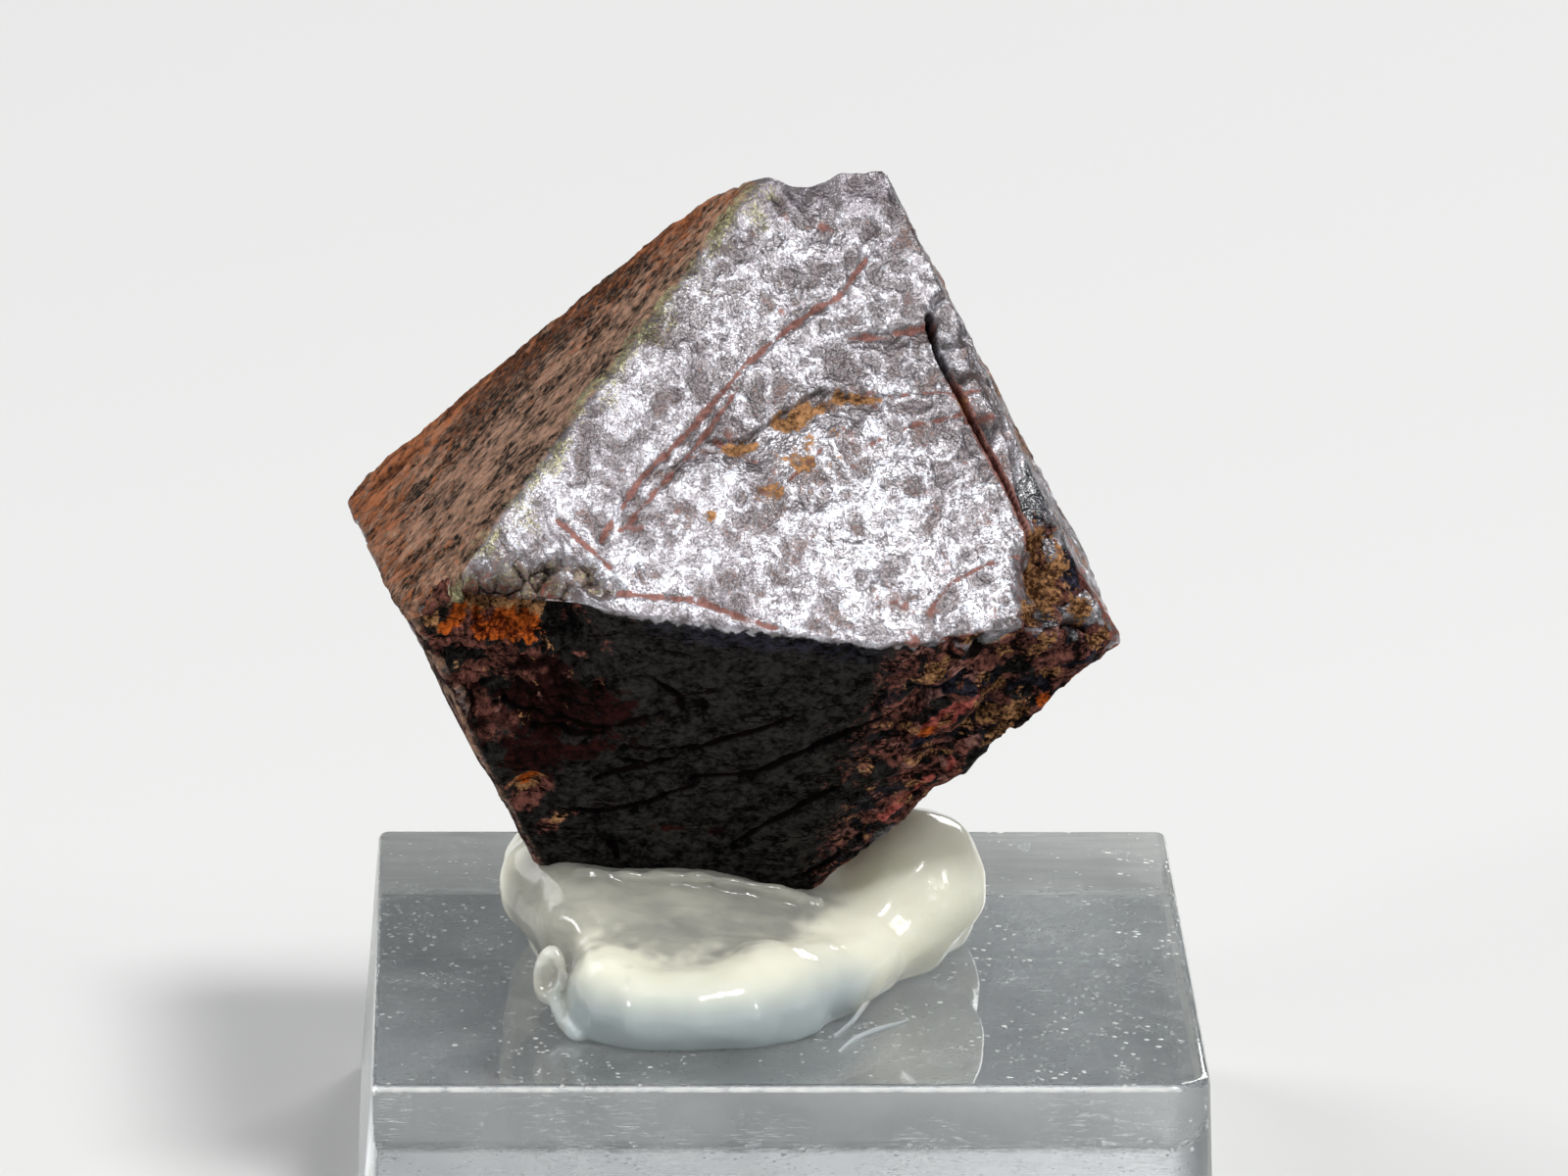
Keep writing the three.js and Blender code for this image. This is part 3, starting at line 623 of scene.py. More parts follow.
    def roughen_hidden(self):
        """Growth steps, fine lines and pits on the faces turned away, and nicks along all edges."""
        points, hidden = self.points, self.hidden
        second_nearest = np.sort(self.near, axis=1)[:, -2]
        height = 3.0 * layered(points + 200.0, 5.5)
        steps = height - np.sin(2 * math.pi * height) / (2 * math.pi) - 2
        self.relief += hidden * STEP_RISE * steps * (1 - 0.8 * np.exp(second_nearest / 1.2))
        scored = np.zeros(len(points))
        for name, turn in itertools.product(AWAY, SCORE_TURNS):
            across, upward = plane[name].place(points)
            sideways = across * math.cos(math.radians(turn)) + upward * math.sin(math.radians(turn))
            beside = np.abs((sideways + 0.25 * noise(points, 2.5)) / SCORE_SPACING % 1 - 0.5)
            present = ramp(noise(points + turn, 2.4), 0.15, 0.6) * self.on[name]
            scored = np.maximum(scored, ramp(beside, 0.045, 0.01) * present)
        self.relief -= SCORE_DEPTH * scored + FAR_PIT_DEPTH * ramp(self.pit_gap, 0.36, 0.05) * hidden
        edge = np.exp(second_nearest / 0.45)
        nick = ramp(layered(points + 230.0, 1.1, 2), 0.3, 0.8) * edge
        self.relief -= NICK_DEPTH * nick * (0.2 + 0.8 * hidden) * (1 - 0.7 * self.left_edge)
        self.scored, self.edge = scored, edge

    def streak_upper_left(self):
        """Streaks on the upper left face, parallel to its outer edge, and the fine grain of the others."""
        points = self.points
        across, up = plane["upperLeft"].place(points)
        run, rise = STREAK_DIRECTION
        lengthwise = run * across + rise * up
        crosswise = rise * across - run * up
        wavy = crosswise + 0.35 * noise(points, 1.6) + 0.12 * noise(points, 0.5)
        fibres = np.stack([lengthwise / 1.7 + 0.3 * noise(points + 5.0, 1.1), wavy, 0.4 * crosswise], 1)
        self.streak = layered(fibres, 1.5, 4, 0.8)
        self.granular = layered(points + 260.0, 1.0, 4, 0.95)
        height = STREAK_HEIGHT * (self.streak - 0.5) + GRANULE_HEIGHT * (self.granular - 0.5)
        self.relief += self.on["upperLeft"] * height
        self.fine_cell = layered(points + 80.0, 0.4, gain=0.7)
        self.other = 1 - self.on["front"] - self.on["upperLeft"]
        self.relief += self.other * FINE_HEIGHT * (self.fine_cell - 1)

    def score_lines(self):
        """The shallow lines of the front face and the black cracks of the lower front face."""
        for path, half_width, depth in GROWTH_LINES:
            gap = distance_to(path, self.front_across, self.front_up)[0] + self.waver
            mark = ramp(gap, half_width * 1.3, half_width * 0.3) * self.fade("front", 0.3)
            self.line = np.maximum(self.line, mark)
            self.relief -= depth * mark
        across, up = plane["lowerFront"].place(self.points)
        for path in CRACKS:
            gap, share = distance_to(path, across, up)
            half_width = CRACK_HALF_WIDTH * (0.5 + 1.6 * np.sqrt(share * (1 - share)))
            mark = ramp(gap + self.waver, half_width * 1.8, half_width * 0.5) * self.fade("lowerFront", 0.3)
            self.crack_and_painted_shade = np.maximum(self.crack_and_painted_shade, mark)
            self.relief -= CRACK_DEPTH * mark

    def drop_ledges(self):
        """The ledge across the front face, with painted shadow under its crest, and the lower one from the
        top of the fissure.
        """
        across, up = self.front_across, self.front_up
        under = along(LEDGE_CREST, across) - up + self.waver
        inside = (across > LEDGE_CREST[0][0]) & (across < LEDGE_CREST[-1][0])
        slope = np.clip(1 - under / along(LEDGE_RUN, across), 0, 1)
        drop = along(LEDGE_DROP, across) * slope ** 1.6 * ramp(under, -0.02, 0.06) * inside
        self.relief -= drop * self.fade("front", 0.5)
        shade = ramp(under, 0.16, 0.0) * ramp(under, -0.05, 0.03) * inside
        # painted shadow under the ledge's crest, laid into the cracks' dark
        self.crack_and_painted_shade = np.maximum(self.crack_and_painted_shade, 0.55 * shade * self.fade("front", 0.3))
        under = along(HIGH_LEDGE, across) - up + self.waver
        inside = ramp(across, 1.6, 3.2) * ramp(across, 5.5, 5.3)
        slope = np.clip(1 - under / HIGH_LEDGE_RUN, 0, 1) * ramp(under, -0.02, 0.06)
        self.relief -= HIGH_LEDGE_DROP * slope * inside * self.fade("front", 0.5)

    def split(self):
        """The fissure, its red lip and the pillowed strip beyond it, with painted shade in the strip's
        grooves.
        """
        across, up = self.front_across, self.front_up
        gap, share = distance_to(FISSURE, across, up)
        half_width = np.interp(share, np.linspace(0, 1, len(FISSURE)), FISSURE_HALF_WIDTHS)
        cleft = ramp(gap + 0.4 * self.waver, half_width + 0.05, half_width - 0.03) * self.fade("front", 0.2)
        self.relief -= FISSURE_DEPTH * cleft
        lip = ramp(gap, half_width + 0.22, half_width + 0.05) * ramp(share, 0.25, 0.4)
        self.lip = lip * self.fade("front", 0.3)
        beyond = ramp(across - along(FISSURE_SIDE, up), 0.0, 0.25) * self.on["front"]
        nearest, second, _ = cells(np.stack([across / 1.0, up / 1.7, 0 * up], 1) + 2.0, 1.0)
        groove = ramp(second - nearest, 0.22, 0.03) * beyond
        self.relief -= GROOVE_DEPTH * groove + PILLOW_HEIGHT * beyond * nearest
        # painted shade in the grooves between the pillows, with the fissure's dark
        self.crack_and_painted_shade = np.maximum.reduce([self.crack_and_painted_shade, cleft, 0.6 * groove])

    def hollow(self):
        """The pits and dips, and the rise that brings the outer faces out to their planes."""
        for name, at, size, turn, depth in HOLLOWS:
            inside = np.clip(1 - ellipse(name, at, size, turn, self.points) ** 2, 0, 1)
            below = np.maximum(plane[name].below(self.points), 0)
            self.relief -= depth * inside ** 1.5 * np.exp(-below / HOLLOW_REACH)
        self.relief += OUTER_RISE * (self.hidden + self.on["upperLeft"])

    # -- Masks of the colours --

    def paint_patches(self):
        """The named patches, with ragged borders, and the dark of everything that is deep: the cracks' own
        dark, and painted shade in the gaps, crevices and grooves and under the ledge.
        """
        border = 0.4 * noise(self.points, 0.7) + 0.35 * noise(self.points, 0.3)
        for (layer, name), patches in PATCHES.items():
            for at, size, turn in patches:
                mark = ramp(ellipse(name, at, size, turn, self.points) + border, 1.3, 0.5)
                self.paint(layer, mark * self.fade(name, 0.9))
        self.masks["crack_and_painted_shade"] *= 0.75
        # painted shade in the gaps between plates and the crevices between crumbs, over the dark of the
        # cracks
        self.paint("crack_and_painted_shade", self.crack_and_painted_shade, 0.7 * self.gaps, 0.65 * self.crevice)

    def paint_coats(self):
        """Brown coats on the streaked face and the faces turned away, and the black of the lower faces,
        partly their dark mineral and partly painted shade of faces turned downward.
        """
        points, on, mottle = self.points, self.on, self.mottle
        coating = self.cluster + 0.35 * layered(points + 240.0, 0.5, gain=0.8)
        coated = (ramp(coating, -1.1, 0.5) * on["back"] + ramp(coating, -0.7, 0.9) * on["left"]
                  + ramp(coating, -0.5, 1.1) * on["right"] + 0.4 * ramp(coating, -0.2, 1.0) * on["lowerBack"])
        worn_edge = 0.8 * self.edge * ramp(mottle, -0.7, 0.2)
        from_lower = self.over("lowerFront") + 2.0 * self.cluster
        from_lower = from_lower + 0.8 * layered(points + 250.0, 0.6, gain=0.8)
        self.by_lower = on["left"] * ramp(from_lower, -8.0, -4.5)
        coated = np.maximum(coated * (1 - worn_edge), self.by_lower * (0.75 + 0.4 * mottle))
        self.masks["tan"] = np.maximum(on["upperLeft"] + coated, 0.8 * self.left_edge)
        self.paint("rust", 0.9 * self.by_lower * ramp(mottle, 0.5, -0.3))
        outer_edge = self.fade("back", 3.0) + 0.6 * self.fade("left", 2.5)
        self.masks["warm"] = on["upperLeft"] * np.clip(outer_edge * (0.9 + 0.5 * mottle), 0, 1)
        under_edge = self.over("lowerFront") - self.over("front") + 0.25 * noise(points, 0.35)
        dull = on["lowerFront"] + on["brokenEdge"] + on["brokenCorner"]
        # partly painted shade: the faces turned downward are made black
        black = ramp(under_edge, 0.05, 0.3) * dull + 0.6 * on["lowerBack"] + 0.5 * on["lowerRight"]
        self.masks["black"] = np.maximum(black, 0.5 * self.rim * ramp(mottle, -0.3, 0.6))
        lower_across = plane["lowerFront"].place(points)[0]
        dark_band = np.exp(-((under_edge - 0.5) / 0.5) ** 2) * on["lowerFront"]
        self.paint("blue", 0.8 * (dark_band * ramp(lower_across, -4.0, -1.0)))

    def paint_broken(self):
        """Chunks of several colours on the broken ground."""
        points, on = self.points, self.on
        from_tip = points - BLUNT_CORNERS[0][0]
        around_tip = on["right"] * np.exp(-(from_tip ** 2).sum(1) / TIP_REACH ** 2)
        broken = on["brokenCorner"] + on["brokenEdge"] + 0.8 * on["lowerRight"] + self.crumbly + self.chip
        broken = np.clip(broken + around_tip, 0, 1)
        shift = bend(points, 0.8)
        grid = np.stack([self.along_splinters / 1.5, self.cross_splinters, self.over("front")], 1)
        chunk = cells(grid + 0.25 * shift, 0.5)[2]
        chunk = np.where(self.shattered > 0.4, chunk, 0.5 + 0.2 * shift[:, 0])
        shadowy = layered(points + 300.0, 1.8)
        rusty = ramp(layered(points + 120.0, 0.9, 4, 0.8), 0.3, 0.75) * broken
        self.paint("pink", broken * ramp(chunk + 0.8 * shadowy, 0.25, 0.6), around_tip)
        self.paint("ochre", 0.7 * broken * ramp(chunk, 0.84, 0.9), 0.55 * rusty)
        self.paint("red", 0.6 * broken * ramp(chunk, 0.66, 0.72) * ramp(chunk, 0.82, 0.76))
        self.paint("blue", 0.8 * ramp(chunk, 0.26, 0.16) * self.shattered)

    def paint_front(self):
        """The duller parts, red lines and stains, ochre specks, and the olive band along the ridge."""
        points, on, mottle = self.points, self.on, self.mottle
        speckled = ramp(ellipse(*OCHRE_SPECKS, points) + 0.5 * mottle, 1.2, 0.5) * self.fade("front", 0.9)
        speckled = speckled * ramp(layered(points + 150.0, 0.8), 0.0, 0.5)
        self.paint("ochre", 0.75 * speckled)
        bright = ramp(0.55 * self.cluster + 0.45 * self.hummock + 0.5 * (self.crests - 0.35), -0.45, 0.35)
        self.bright = bright * (1 - 0.5 * self.pit)
        brown = np.clip(1 - self.bright, 0, 1) * (0.22 + 0.33 * ramp(mottle, -0.4, 0.7))
        self.masks["brown"] = np.maximum(brown * (on["front"] + self.hidden), 0.7 * self.rim)
        broken_line = self.line * ramp(noise(points + 3.0, 0.9), -1.2, -0.4)
        stain = ramp(layered(points + 90.0, 0.8), 0.45, 0.75) * ramp(self.cluster, 0.3, -0.4) * on["front"]
        far_stain = ramp(layered(points + 90.0, 1.4, 4), 0.35, 0.7) * self.hidden
        to_ridge = self.over("upperLeft") - self.over("front")
        to_ridge = to_ridge + 0.5 * noise(points, 0.6) + 0.5 * noise(points, 1.6)
        beside_ridge = np.exp(-((to_ridge - 0.9) / 0.2) ** 2) * on["front"]
        beside_ridge = beside_ridge * ramp(noise(points + 6.0, 1.5), -0.4, 0.2)
        self.paint("red", 0.9 * broken_line, 0.6 * stain, self.lip, 0.7 * self.scored, 0.6 * far_stain,
                   0.75 * beside_ridge)
        ridge_band = np.exp(-((to_ridge + 0.15) / 0.75) ** 2) * (on["front"] + on["upperLeft"])
        self.masks["olive"] = np.clip(ridge_band * (0.5 + 0.5 * mottle) + 0.4 * self.rim, 0, 1)

    def paint_light(self):
        """How much the surface's coat shines, and how light each layer is, which carries painted highlight
        and painted shade.
        """
        on, hidden, masks, mottle = self.on, self.hidden, self.masks, self.mottle
        high = ramp(self.front_up, -3.5, 3.0)
        shine = (0.55 + 0.35 * self.smooth_left) * ramp(self.front_up, 8.9, 7.6) * on["front"]
        shine = shine * (0.25 + 0.75 * self.bright) * (1 - 0.5 * high)
        masks["shine"] = np.clip(shine + 0.5 * hidden * self.bright * (1 - self.by_lower)
                                 + 0.4 * on["brokenTip"] + 0.6 * masks["blue"] + 0.35 * self.rim, 0, 1)
        # painted highlight and shade: lighter on the hummocks and crests, darker towards the top of the front
        # face
        level = 0.5 - 0.22 * high + 0.25 * self.hummock + 0.5 * (self.crests - 0.35) + 0.25 * self.cluster
        # painted light: the ochre patches are made lighter, making up for the ledge's slope turning them from
        # the light
        level += 0.25 * masks["ochre"]
        dark_part = ramp(ellipse(*DARK_PART, self.points) + 0.4 * mottle, 1.2, 0.5)
        streaky = 0.48 + 0.5 * self.streak + 0.9 * self.granular - 0.64 * dark_part
        dim = 0.5 + 0.9 * self.fine_cell + 0.35 * mottle
        level = level * (on["front"] + hidden) + streaky * on["upperLeft"] + dim * (self.other - hidden)
        rough = np.clip(self.lumps / 0.15, 0, 1)
        # painted shade: lighter on the lump tops, darker in the gaps between them and on the deeper plates
        lumpy = self.lump_height + 0.25 * self.fine_cell + (0.35 * (0.5 - self.plate) - 0.16) * self.shattered
        masks["level"] = np.clip(level * (1 - rough) + rough * lumpy, 0, 1)


def weathered(points):
    """The worn, uneven surface for points of the flat polyhedron, and the masks of its colours."""
    crystal = Weathering(points)
    for step in (crystal.crumble, crystal.splinter, crystal.roughen_front, crystal.roughen_hidden,
                 crystal.streak_upper_left, crystal.score_lines, crystal.drop_ledges, crystal.split,
                 crystal.hollow, crystal.paint_patches, crystal.paint_coats, crystal.paint_broken,
                 crystal.paint_front, crystal.paint_light):
        step()
    return crystal.moved(), crystal.masks


# ---- Blender helpers ----

def mesh_object(name, points, faces, masks=None, smooth=True):
    """An object from points in millimetres and faces, with a value per point for each mask."""
    mesh = bpy.data.meshes.new(name)
    mesh.from_pydata((np.asarray(points) * MM).tolist(), [],
                     faces if isinstance(faces, list) else faces.tolist())
    mesh.validate()
    if smooth:
        mesh.shade_smooth()
    for mask, values in (masks or {}).items():
        attribute = mesh.attributes.new(mask, "FLOAT", "POINT")
        attribute.data.foreach_set("value", np.asarray(values, np.float32))
    made = bpy.data.objects.new(name, mesh)
    bpy.context.scene.collection.objects.link(made)
    return made


class Nodes:
    """A material's node tree, with short calls for the nodes used here."""

    def __init__(self, name):
        self.material = bpy.data.materials.new(name)
        self.material.use_nodes = True
        self.tree = self.material.node_tree
        self.shader = self.tree.nodes["Principled BSDF"]
        self.coordinates = self.tree.nodes.new("ShaderNodeTexCoord").outputs["Object"]

    def put(self, socket, value):
        if isinstance(value, bpy.types.NodeSocket):
            self.tree.links.new(value, socket)
        else:
            socket.default_value = value

    def node(self, kind, inputs, output=0, **settings):
        """One output of a new node, with its inputs given by name or number."""
        made = self.tree.nodes.new("ShaderNode" + kind)
        for name, value in settings.items():
            setattr(made, name, value)
        for socket, value in inputs.items():
            self.put(made.inputs[socket], value)
        return made.outputs[output]

    def attribute(self, name):
        return self.node("Attribute", {}, "Fac", attribute_name=name)

    def math(self, operation, first, second=0.0, third=0.0):
        return self.node("Math", {0: first, 1: second, 2: third}, operation=operation)

    plus = partialmethod(math, "ADD")
    minus = partialmethod(math, "SUBTRACT")
    times = partialmethod(math, "MULTIPLY")
    most = partialmethod(math, "MAXIMUM")
    least = partialmethod(math, "MINIMUM")

    def place(self):
        """X, Y and Z in millimetres."""
        separate = self.node("SeparateXYZ", {0: self.coordinates}).node
        return [self.math("DIVIDE", output, MM) for output in separate.outputs]

    def stretched(self, stretch):
        """Coordinates turned by degrees about X, Y and Z and then scaled, if a stretch is given."""
        if not stretch:
            return self.coordinates
        turn, scale = stretch
        return self.node("Mapping", {"Rotation": [math.radians(x) for x in turn], "Scale": scale,
                                     "Vector": self.coordinates})

    def noise(self, size, detail=2.0, roughness=0.5, stretch=None, distortion=0.0):
        """Noise whose grain is size millimetres."""
        return self.node("TexNoise", {"Scale": 1 / (size * MM), "Detail": detail, "Roughness": roughness,
                                      "Distortion": distortion, "Vector": self.stretched(stretch)}, "Fac")

    def cells(self, size):
        """Distance to the nearest of scattered points that are size millimetres apart."""
        return self.node("TexVoronoi", {"Scale": 1 / (size * MM), "Vector": self.coordinates}, "Distance")

    def spread(self, value, low, high, to_low=0.0, to_high=1.0):
        """Value mapped so that low gives to_low and high gives to_high, and no further."""
        return self.node("MapRange", dict(enumerate((value, low, high, to_low, to_high))), clamp=True)

    def mix(self, factor, first, second):
        """A colour from first to second as factor goes from 0 to 1."""
        return self.node("Mix", {0: factor, 6: first, 7: second}, 2, data_type="RGBA")

    def blend(self, factor, first, second):
        """The same for plain numbers."""
        return self.node("Mix", {0: factor, 2: first, 3: second})

    def bump(self, height, depth, strength):
        """Relief of the given depth in millimetres."""
        return self.node("Bump", {"Strength": strength, "Distance": depth * MM, "Height": height})

    def set(self, **values):
        for name, value in values.items():
            self.put(self.shader.inputs[name.replace("_", " ")], value)
        return self.material


def rgb(red, green, blue):
    """A colour from its usual 0 to 255 values."""
    def linear(value):
        value = value / 255
        return value / 12.92 if value <= 0.04045 else ((value + 0.055) / 1.055) ** 2.4
    return (linear(red), linear(green), linear(blue), 1.0)


# ---- Materials ----

# Layers over the bare metal: mask, two colours and the grain that mixes them, how much the grain
# breaks up the layer's border, roughness and metalness
LAYERS = [
    ("tan", rgb(26, 22, 18), rgb(170, 133, 111), 0.24, 0.35, 0.6, 0.1),
    ("warm", rgb(60, 32, 18), rgb(172, 106, 70), 0.25, 1.0, 0.65, 0.0),
    ("brown", rgb(98, 80, 76), rgb(152, 130, 124), 0.15, 0.9, 0.45, 0.6),
    ("black", rgb(1, 1, 1), rgb(47, 45, 43), 0.16, 0.4, 0.5, 0.0),
    ("olive", rgb(66, 61, 50), rgb(166, 160, 122), 0.13, 0.9, 0.4, 0.6),
    ("pink", rgb(14, 6, 6), rgb(134, 84, 74), 0.2, 0.8, 0.65, 0.0),
    ("rust", rgb(12, 5, 5), rgb(46, 19, 17), 0.2, 1.0, 0.7, 0.0),
    ("blue", rgb(5, 5, 9), rgb(50, 48, 60), 0.2, 0.6, 0.35, 0.5),
    ("red", rgb(104, 70, 64), rgb(164, 120, 112), 0.2, 0.7, 0.6, 0.1),
    ("rose", rgb(84, 32, 28), rgb(196, 104, 94), 0.2, 0.5, 0.6, 0.0),
    ("ochre", rgb(56, 34, 19), rgb(192, 142, 98), 0.14, 1.0, 0.75, 0.0),
    ("orange", rgb(70, 24, 8), rgb(204, 100, 38), 0.16, 1.0, 0.75, 0.0),
    # the cracks' dark, also used for painted shade in gaps, crevices, grooves, a pit and under the ledge
    ("crack_and_painted_shade", rgb(3, 2, 2), rgb(16, 9, 7), 0.3, 0.1, 0.9, 0.0),
]
SHINY_LAYERS = ("olive", "blue")  # the sparkle shows on these layers too
METAL_DARK = rgb(102, 95, 97)
METAL_LIGHT = rgb(168, 162, 168)
# the near-white colour of the painted glints on the bare metal
PAINTED_GLINT = rgb(226, 228, 238)
BARE_ROUGHNESS = 0.46
BARE_METALNESS = 0.9
METAL_IOR = 1.1  # low, so that the dull layers don't reflect the pale floor
SHINE_ROUGHNESS = 0.22  # of the coat that makes the sharper reflections
SHINE_IOR = 2.9


def magnetite_material():
    nodes = Nodes("magnetite")
    noise, spread, times = nodes.noise, nodes.spread, nodes.times
    level = nodes.attribute("level")
    shine = nodes.attribute("shine")

    # bare metal, with a painted glint: near-white colour laid on where a noise and the shine mask are high
    # the level brings painted highlight and shade into the metal's colour: lighter on crests and lump tops,
    # darker in gaps and towards the top of the front face
    metal = spread(nodes.blend(0.4, level, noise(0.12, 3, 0.6)), 0.3, 0.7)
    colour = nodes.mix(metal, METAL_DARK, METAL_LIGHT)
    painted_glint = nodes.blend(0.17, noise(0.21, 4, 0.75), level)
    painted_glint = times(spread(painted_glint, 0.53, 0.56), spread(shine, 0.1, 0.6))
    colour = nodes.mix(painted_glint, colour, PAINTED_GLINT)
    roughness = BARE_ROUGHNESS
    metalness = BARE_METALNESS

    # fine slits in the black layer, where a noise passes through its middle value
    slit = noise(0.9, 4, 0.6, ((0, 25, 0), (0.45, 1.0, 1.6)), 0.5)
    slit = spread(nodes.math("ABSOLUTE", nodes.minus(slit, 0.5)), 0.01, 0.028, 1.0, 0.0)
    slit = times(slit, spread(noise(1.1, 3, 0.6), 0.45, 0.55))
    slit = times(slit, nodes.attribute("black"))

    for mask, dark, light, size, breakup, layer_roughness, layer_metalness in LAYERS:
        speckle = noise(size, 4, 0.65)
        strength = nodes.attribute(mask)
        ragged = nodes.math("MULTIPLY_ADD", nodes.minus(speckle, 0.5), 2 * breakup, strength)
        factor = times(spread(ragged, 0.3, 0.7), spread(strength, 0.0, 0.1))
        if mask == "crack_and_painted_shade":
            factor = nodes.most(factor, slit)
        # each layer's colour follows the level too, with its painted highlight and shade
        shade = spread(nodes.blend(0.5, spread(speckle, 0.35, 0.65), level), 0.22, 0.78)
        colour = nodes.mix(factor, colour, nodes.mix(shade, dark, light))
        roughness = nodes.blend(factor, roughness, layer_roughness)
        metalness = nodes.blend(factor, metalness, layer_metalness)
        if mask not in SHINY_LAYERS:
            shine = nodes.blend(factor, shine, 0.0)

    granules = times(nodes.cells(0.2), -0.5)
    normal = nodes.bump(nodes.plus(noise(0.11, 2, 0.65), granules), 0.06, 0.9)
    nodes.shader.inputs["IOR"].default_value = METAL_IOR
    nodes.shader.inputs["Coat Roughness"].default_value = SHINE_ROUGHNESS
    nodes.shader.inputs["Coat IOR"].default_value = SHINE_IOR
    return nodes.set(Base_Color=colour, Roughness=roughness, Metallic=metalness, Normal=normal,
                     Coat_Weight=shine, Coat_Normal=normal)


# The glue: two colours of its milky bulk, of its cooler, darker foot at the front and of the grey painted on
# its slope for the dark crystal seen through the thin glue and the crystal's shadow
GLUE_MILKY = (rgb(247, 245, 224), rgb(238, 236, 220))
GLUE_COOL = rgb(180, 190, 190)
GLUE_PAINTED_SEE_THROUGH_SHADE = (rgb(150, 149, 142), rgb(186, 185, 172))


def glue_material():
    nodes = Nodes("hot_melt_glue")
    painted_see_through_shade = nodes.attribute("painted_see_through_shade")
    cool = nodes.attribute("cool")
    cloud = nodes.noise(1.6, 3, 0.5)
    milky = nodes.mix(cloud, *GLUE_MILKY)
    milky = nodes.mix(cool, milky, GLUE_COOL)
    wisps = nodes.noise(0.5, 4, 0.6, ((0, 35, 20), (0.35, 1.0, 1.0)), 0.6)
    streak = nodes.blend(0.65, wisps, nodes.noise(2.2, 2, 0.5))
    # painted see-through and shadow: grey streaks where the dark crystal shows through the thin glue and its
    # shadow falls
    clear = nodes.mix(nodes.spread(streak, 0.38, 0.64), *GLUE_PAINTED_SEE_THROUGH_SHADE)
    colour = nodes.mix(painted_see_through_shade, milky, clear)
    fine = nodes.noise(0.35, 3, 0.6)
    normal = nodes.bump(nodes.blend(0.3, nodes.noise(1.1, 2), fine), 0.06, 0.6)
    nodes.shader.inputs["Subsurface Weight"].default_value = 0.85
    nodes.shader.inputs["Subsurface Radius"].default_value = (1.0, 0.97, 0.9)
    nodes.shader.inputs["Subsurface Scale"].default_value = 1.2 * MM
    nodes.shader.inputs["IOR"].default_value = 1.5
    roughness = nodes.blend(nodes.noise(0.5, 2), 0.06, 0.22)
    return nodes.set(Base_Color=colour, Roughness=roughness, Normal=normal)


ACRYLIC_PLAIN = rgb(238, 241, 242)
ACRYLIC_PALE = rgb(244, 244, 238)  # where it is worn, frosted or dusty
ACRYLIC_DENSITY = 0.065  # of the darkness in its volume, for each millimetre


def acrylic_material():
    nodes = Nodes("clear_acrylic")
    noise, cells, spread = nodes.noise, nodes.cells, nodes.spread
    plus, times, most, least = nodes.plus, nodes.times, nodes.most, nodes.least

    # where the walls, their edges and the frosted sawn sides are
    x, y, z = nodes.place()
    wall = BLOCK_SIDE / 2 - 0.08
    back, right = [spread(place, wall, wall + 0.05) for place in (y, x)]
    front, left = [spread(place, -wall, -wall - 0.05) for place in (y, x)]
    walls = plus(plus(back, front), plus(left, right))
    top = spread(z, BLOCK_HEIGHT - BEVEL - 0.02, BLOCK_HEIGHT - BEVEL + 0.02)
    bottom = spread(z, BEVEL + 0.02, BEVEL - 0.02)
    corners = least(most(nodes.minus(walls, 1.0), 0.0), 1.0)
    rims = times(plus(top, bottom), least(walls, 1.0))
    chips = spread(noise(0.6, 4, 0.7), 0.35, 0.65, 0.25, 1.0)
    worn = times(most(rims, times(corners, 0.8)), chips)
    sawn = noise(0.35, 3, 0.6, ((0, 0, 0), (0.15, 1.0, 1.0)))
    frost = times(most(back, right), spread(sawn, 0.3, 0.7, 0.7, 1.0))
    frost = most(frost, times(left, 0.35))

    # dust, lint, haze and the saw's marks on the front
    patchy = spread(noise(3.0, 3), 0.4, 0.65)
    specks = spread(cells(0.4), 0.12, 0.25, 1.0, 0.0)
    grains = spread(cells(1.3), 0.05, 0.08, 1.0, 0.0)
    fibres = times(spread(noise(0.8, 3, 0.6, None, 1.5), 0.49, 0.5, 0.0, 1.0),
                   spread(noise(0.8, 3, 0.6, None, 1.5), 0.51, 0.5, 0.0, 1.0))
    lint = times(fibres, spread(noise(2.3, 2), 0.55, 0.7, 0.0, 0.4))
    dust = most(most(times(specks, patchy), grains), lint)
    dust = times(dust, spread(walls, 0.0, 1.0, 1.0, 0.3))
    haze = spread(noise(2.6, 4, 0.6), 0.35, 0.8, 0.03, 0.2)
    strokes = noise(0.45, 3, 0.6, ((0, 40, 0), (1.0, 1.0, 12.0)))
    marks = times(spread(strokes, 0.6, 0.72), times(front, patchy))

    pale = most(most(worn, times(frost, 0.2)), most(dust, marks))
    pale = least(most(pale, haze), 1.0)
    colour = nodes.mix(most(pale, frost), ACRYLIC_PLAIN, ACRYLIC_PALE)
    roughness = nodes.blend(most(frost, worn), nodes.blend(haze, 0.01, 0.2), 0.9)
    transmission = nodes.minus(1.0, times(pale, 0.75))
    normal = nodes.bump(plus(times(marks, -0.4), dust), 0.02, 0.5)
    nodes.shader.inputs["IOR"].default_value = 1.49
    absorption = nodes.tree.nodes.new("ShaderNodeVolumeAbsorption")
    absorption.inputs["Color"].default_value = (0.7, 0.71, 0.74, 1.0)
    absorption.inputs["Density"].default_value = ACRYLIC_DENSITY / MM
    output = nodes.tree.nodes["Material Output"]
    nodes.tree.links.new(absorption.outputs[0], output.inputs["Volume"])
    return nodes.set(Base_Color=colour, Roughness=roughness, Transmission_Weight=transmission, Normal=normal)


# ---- Pieces ----

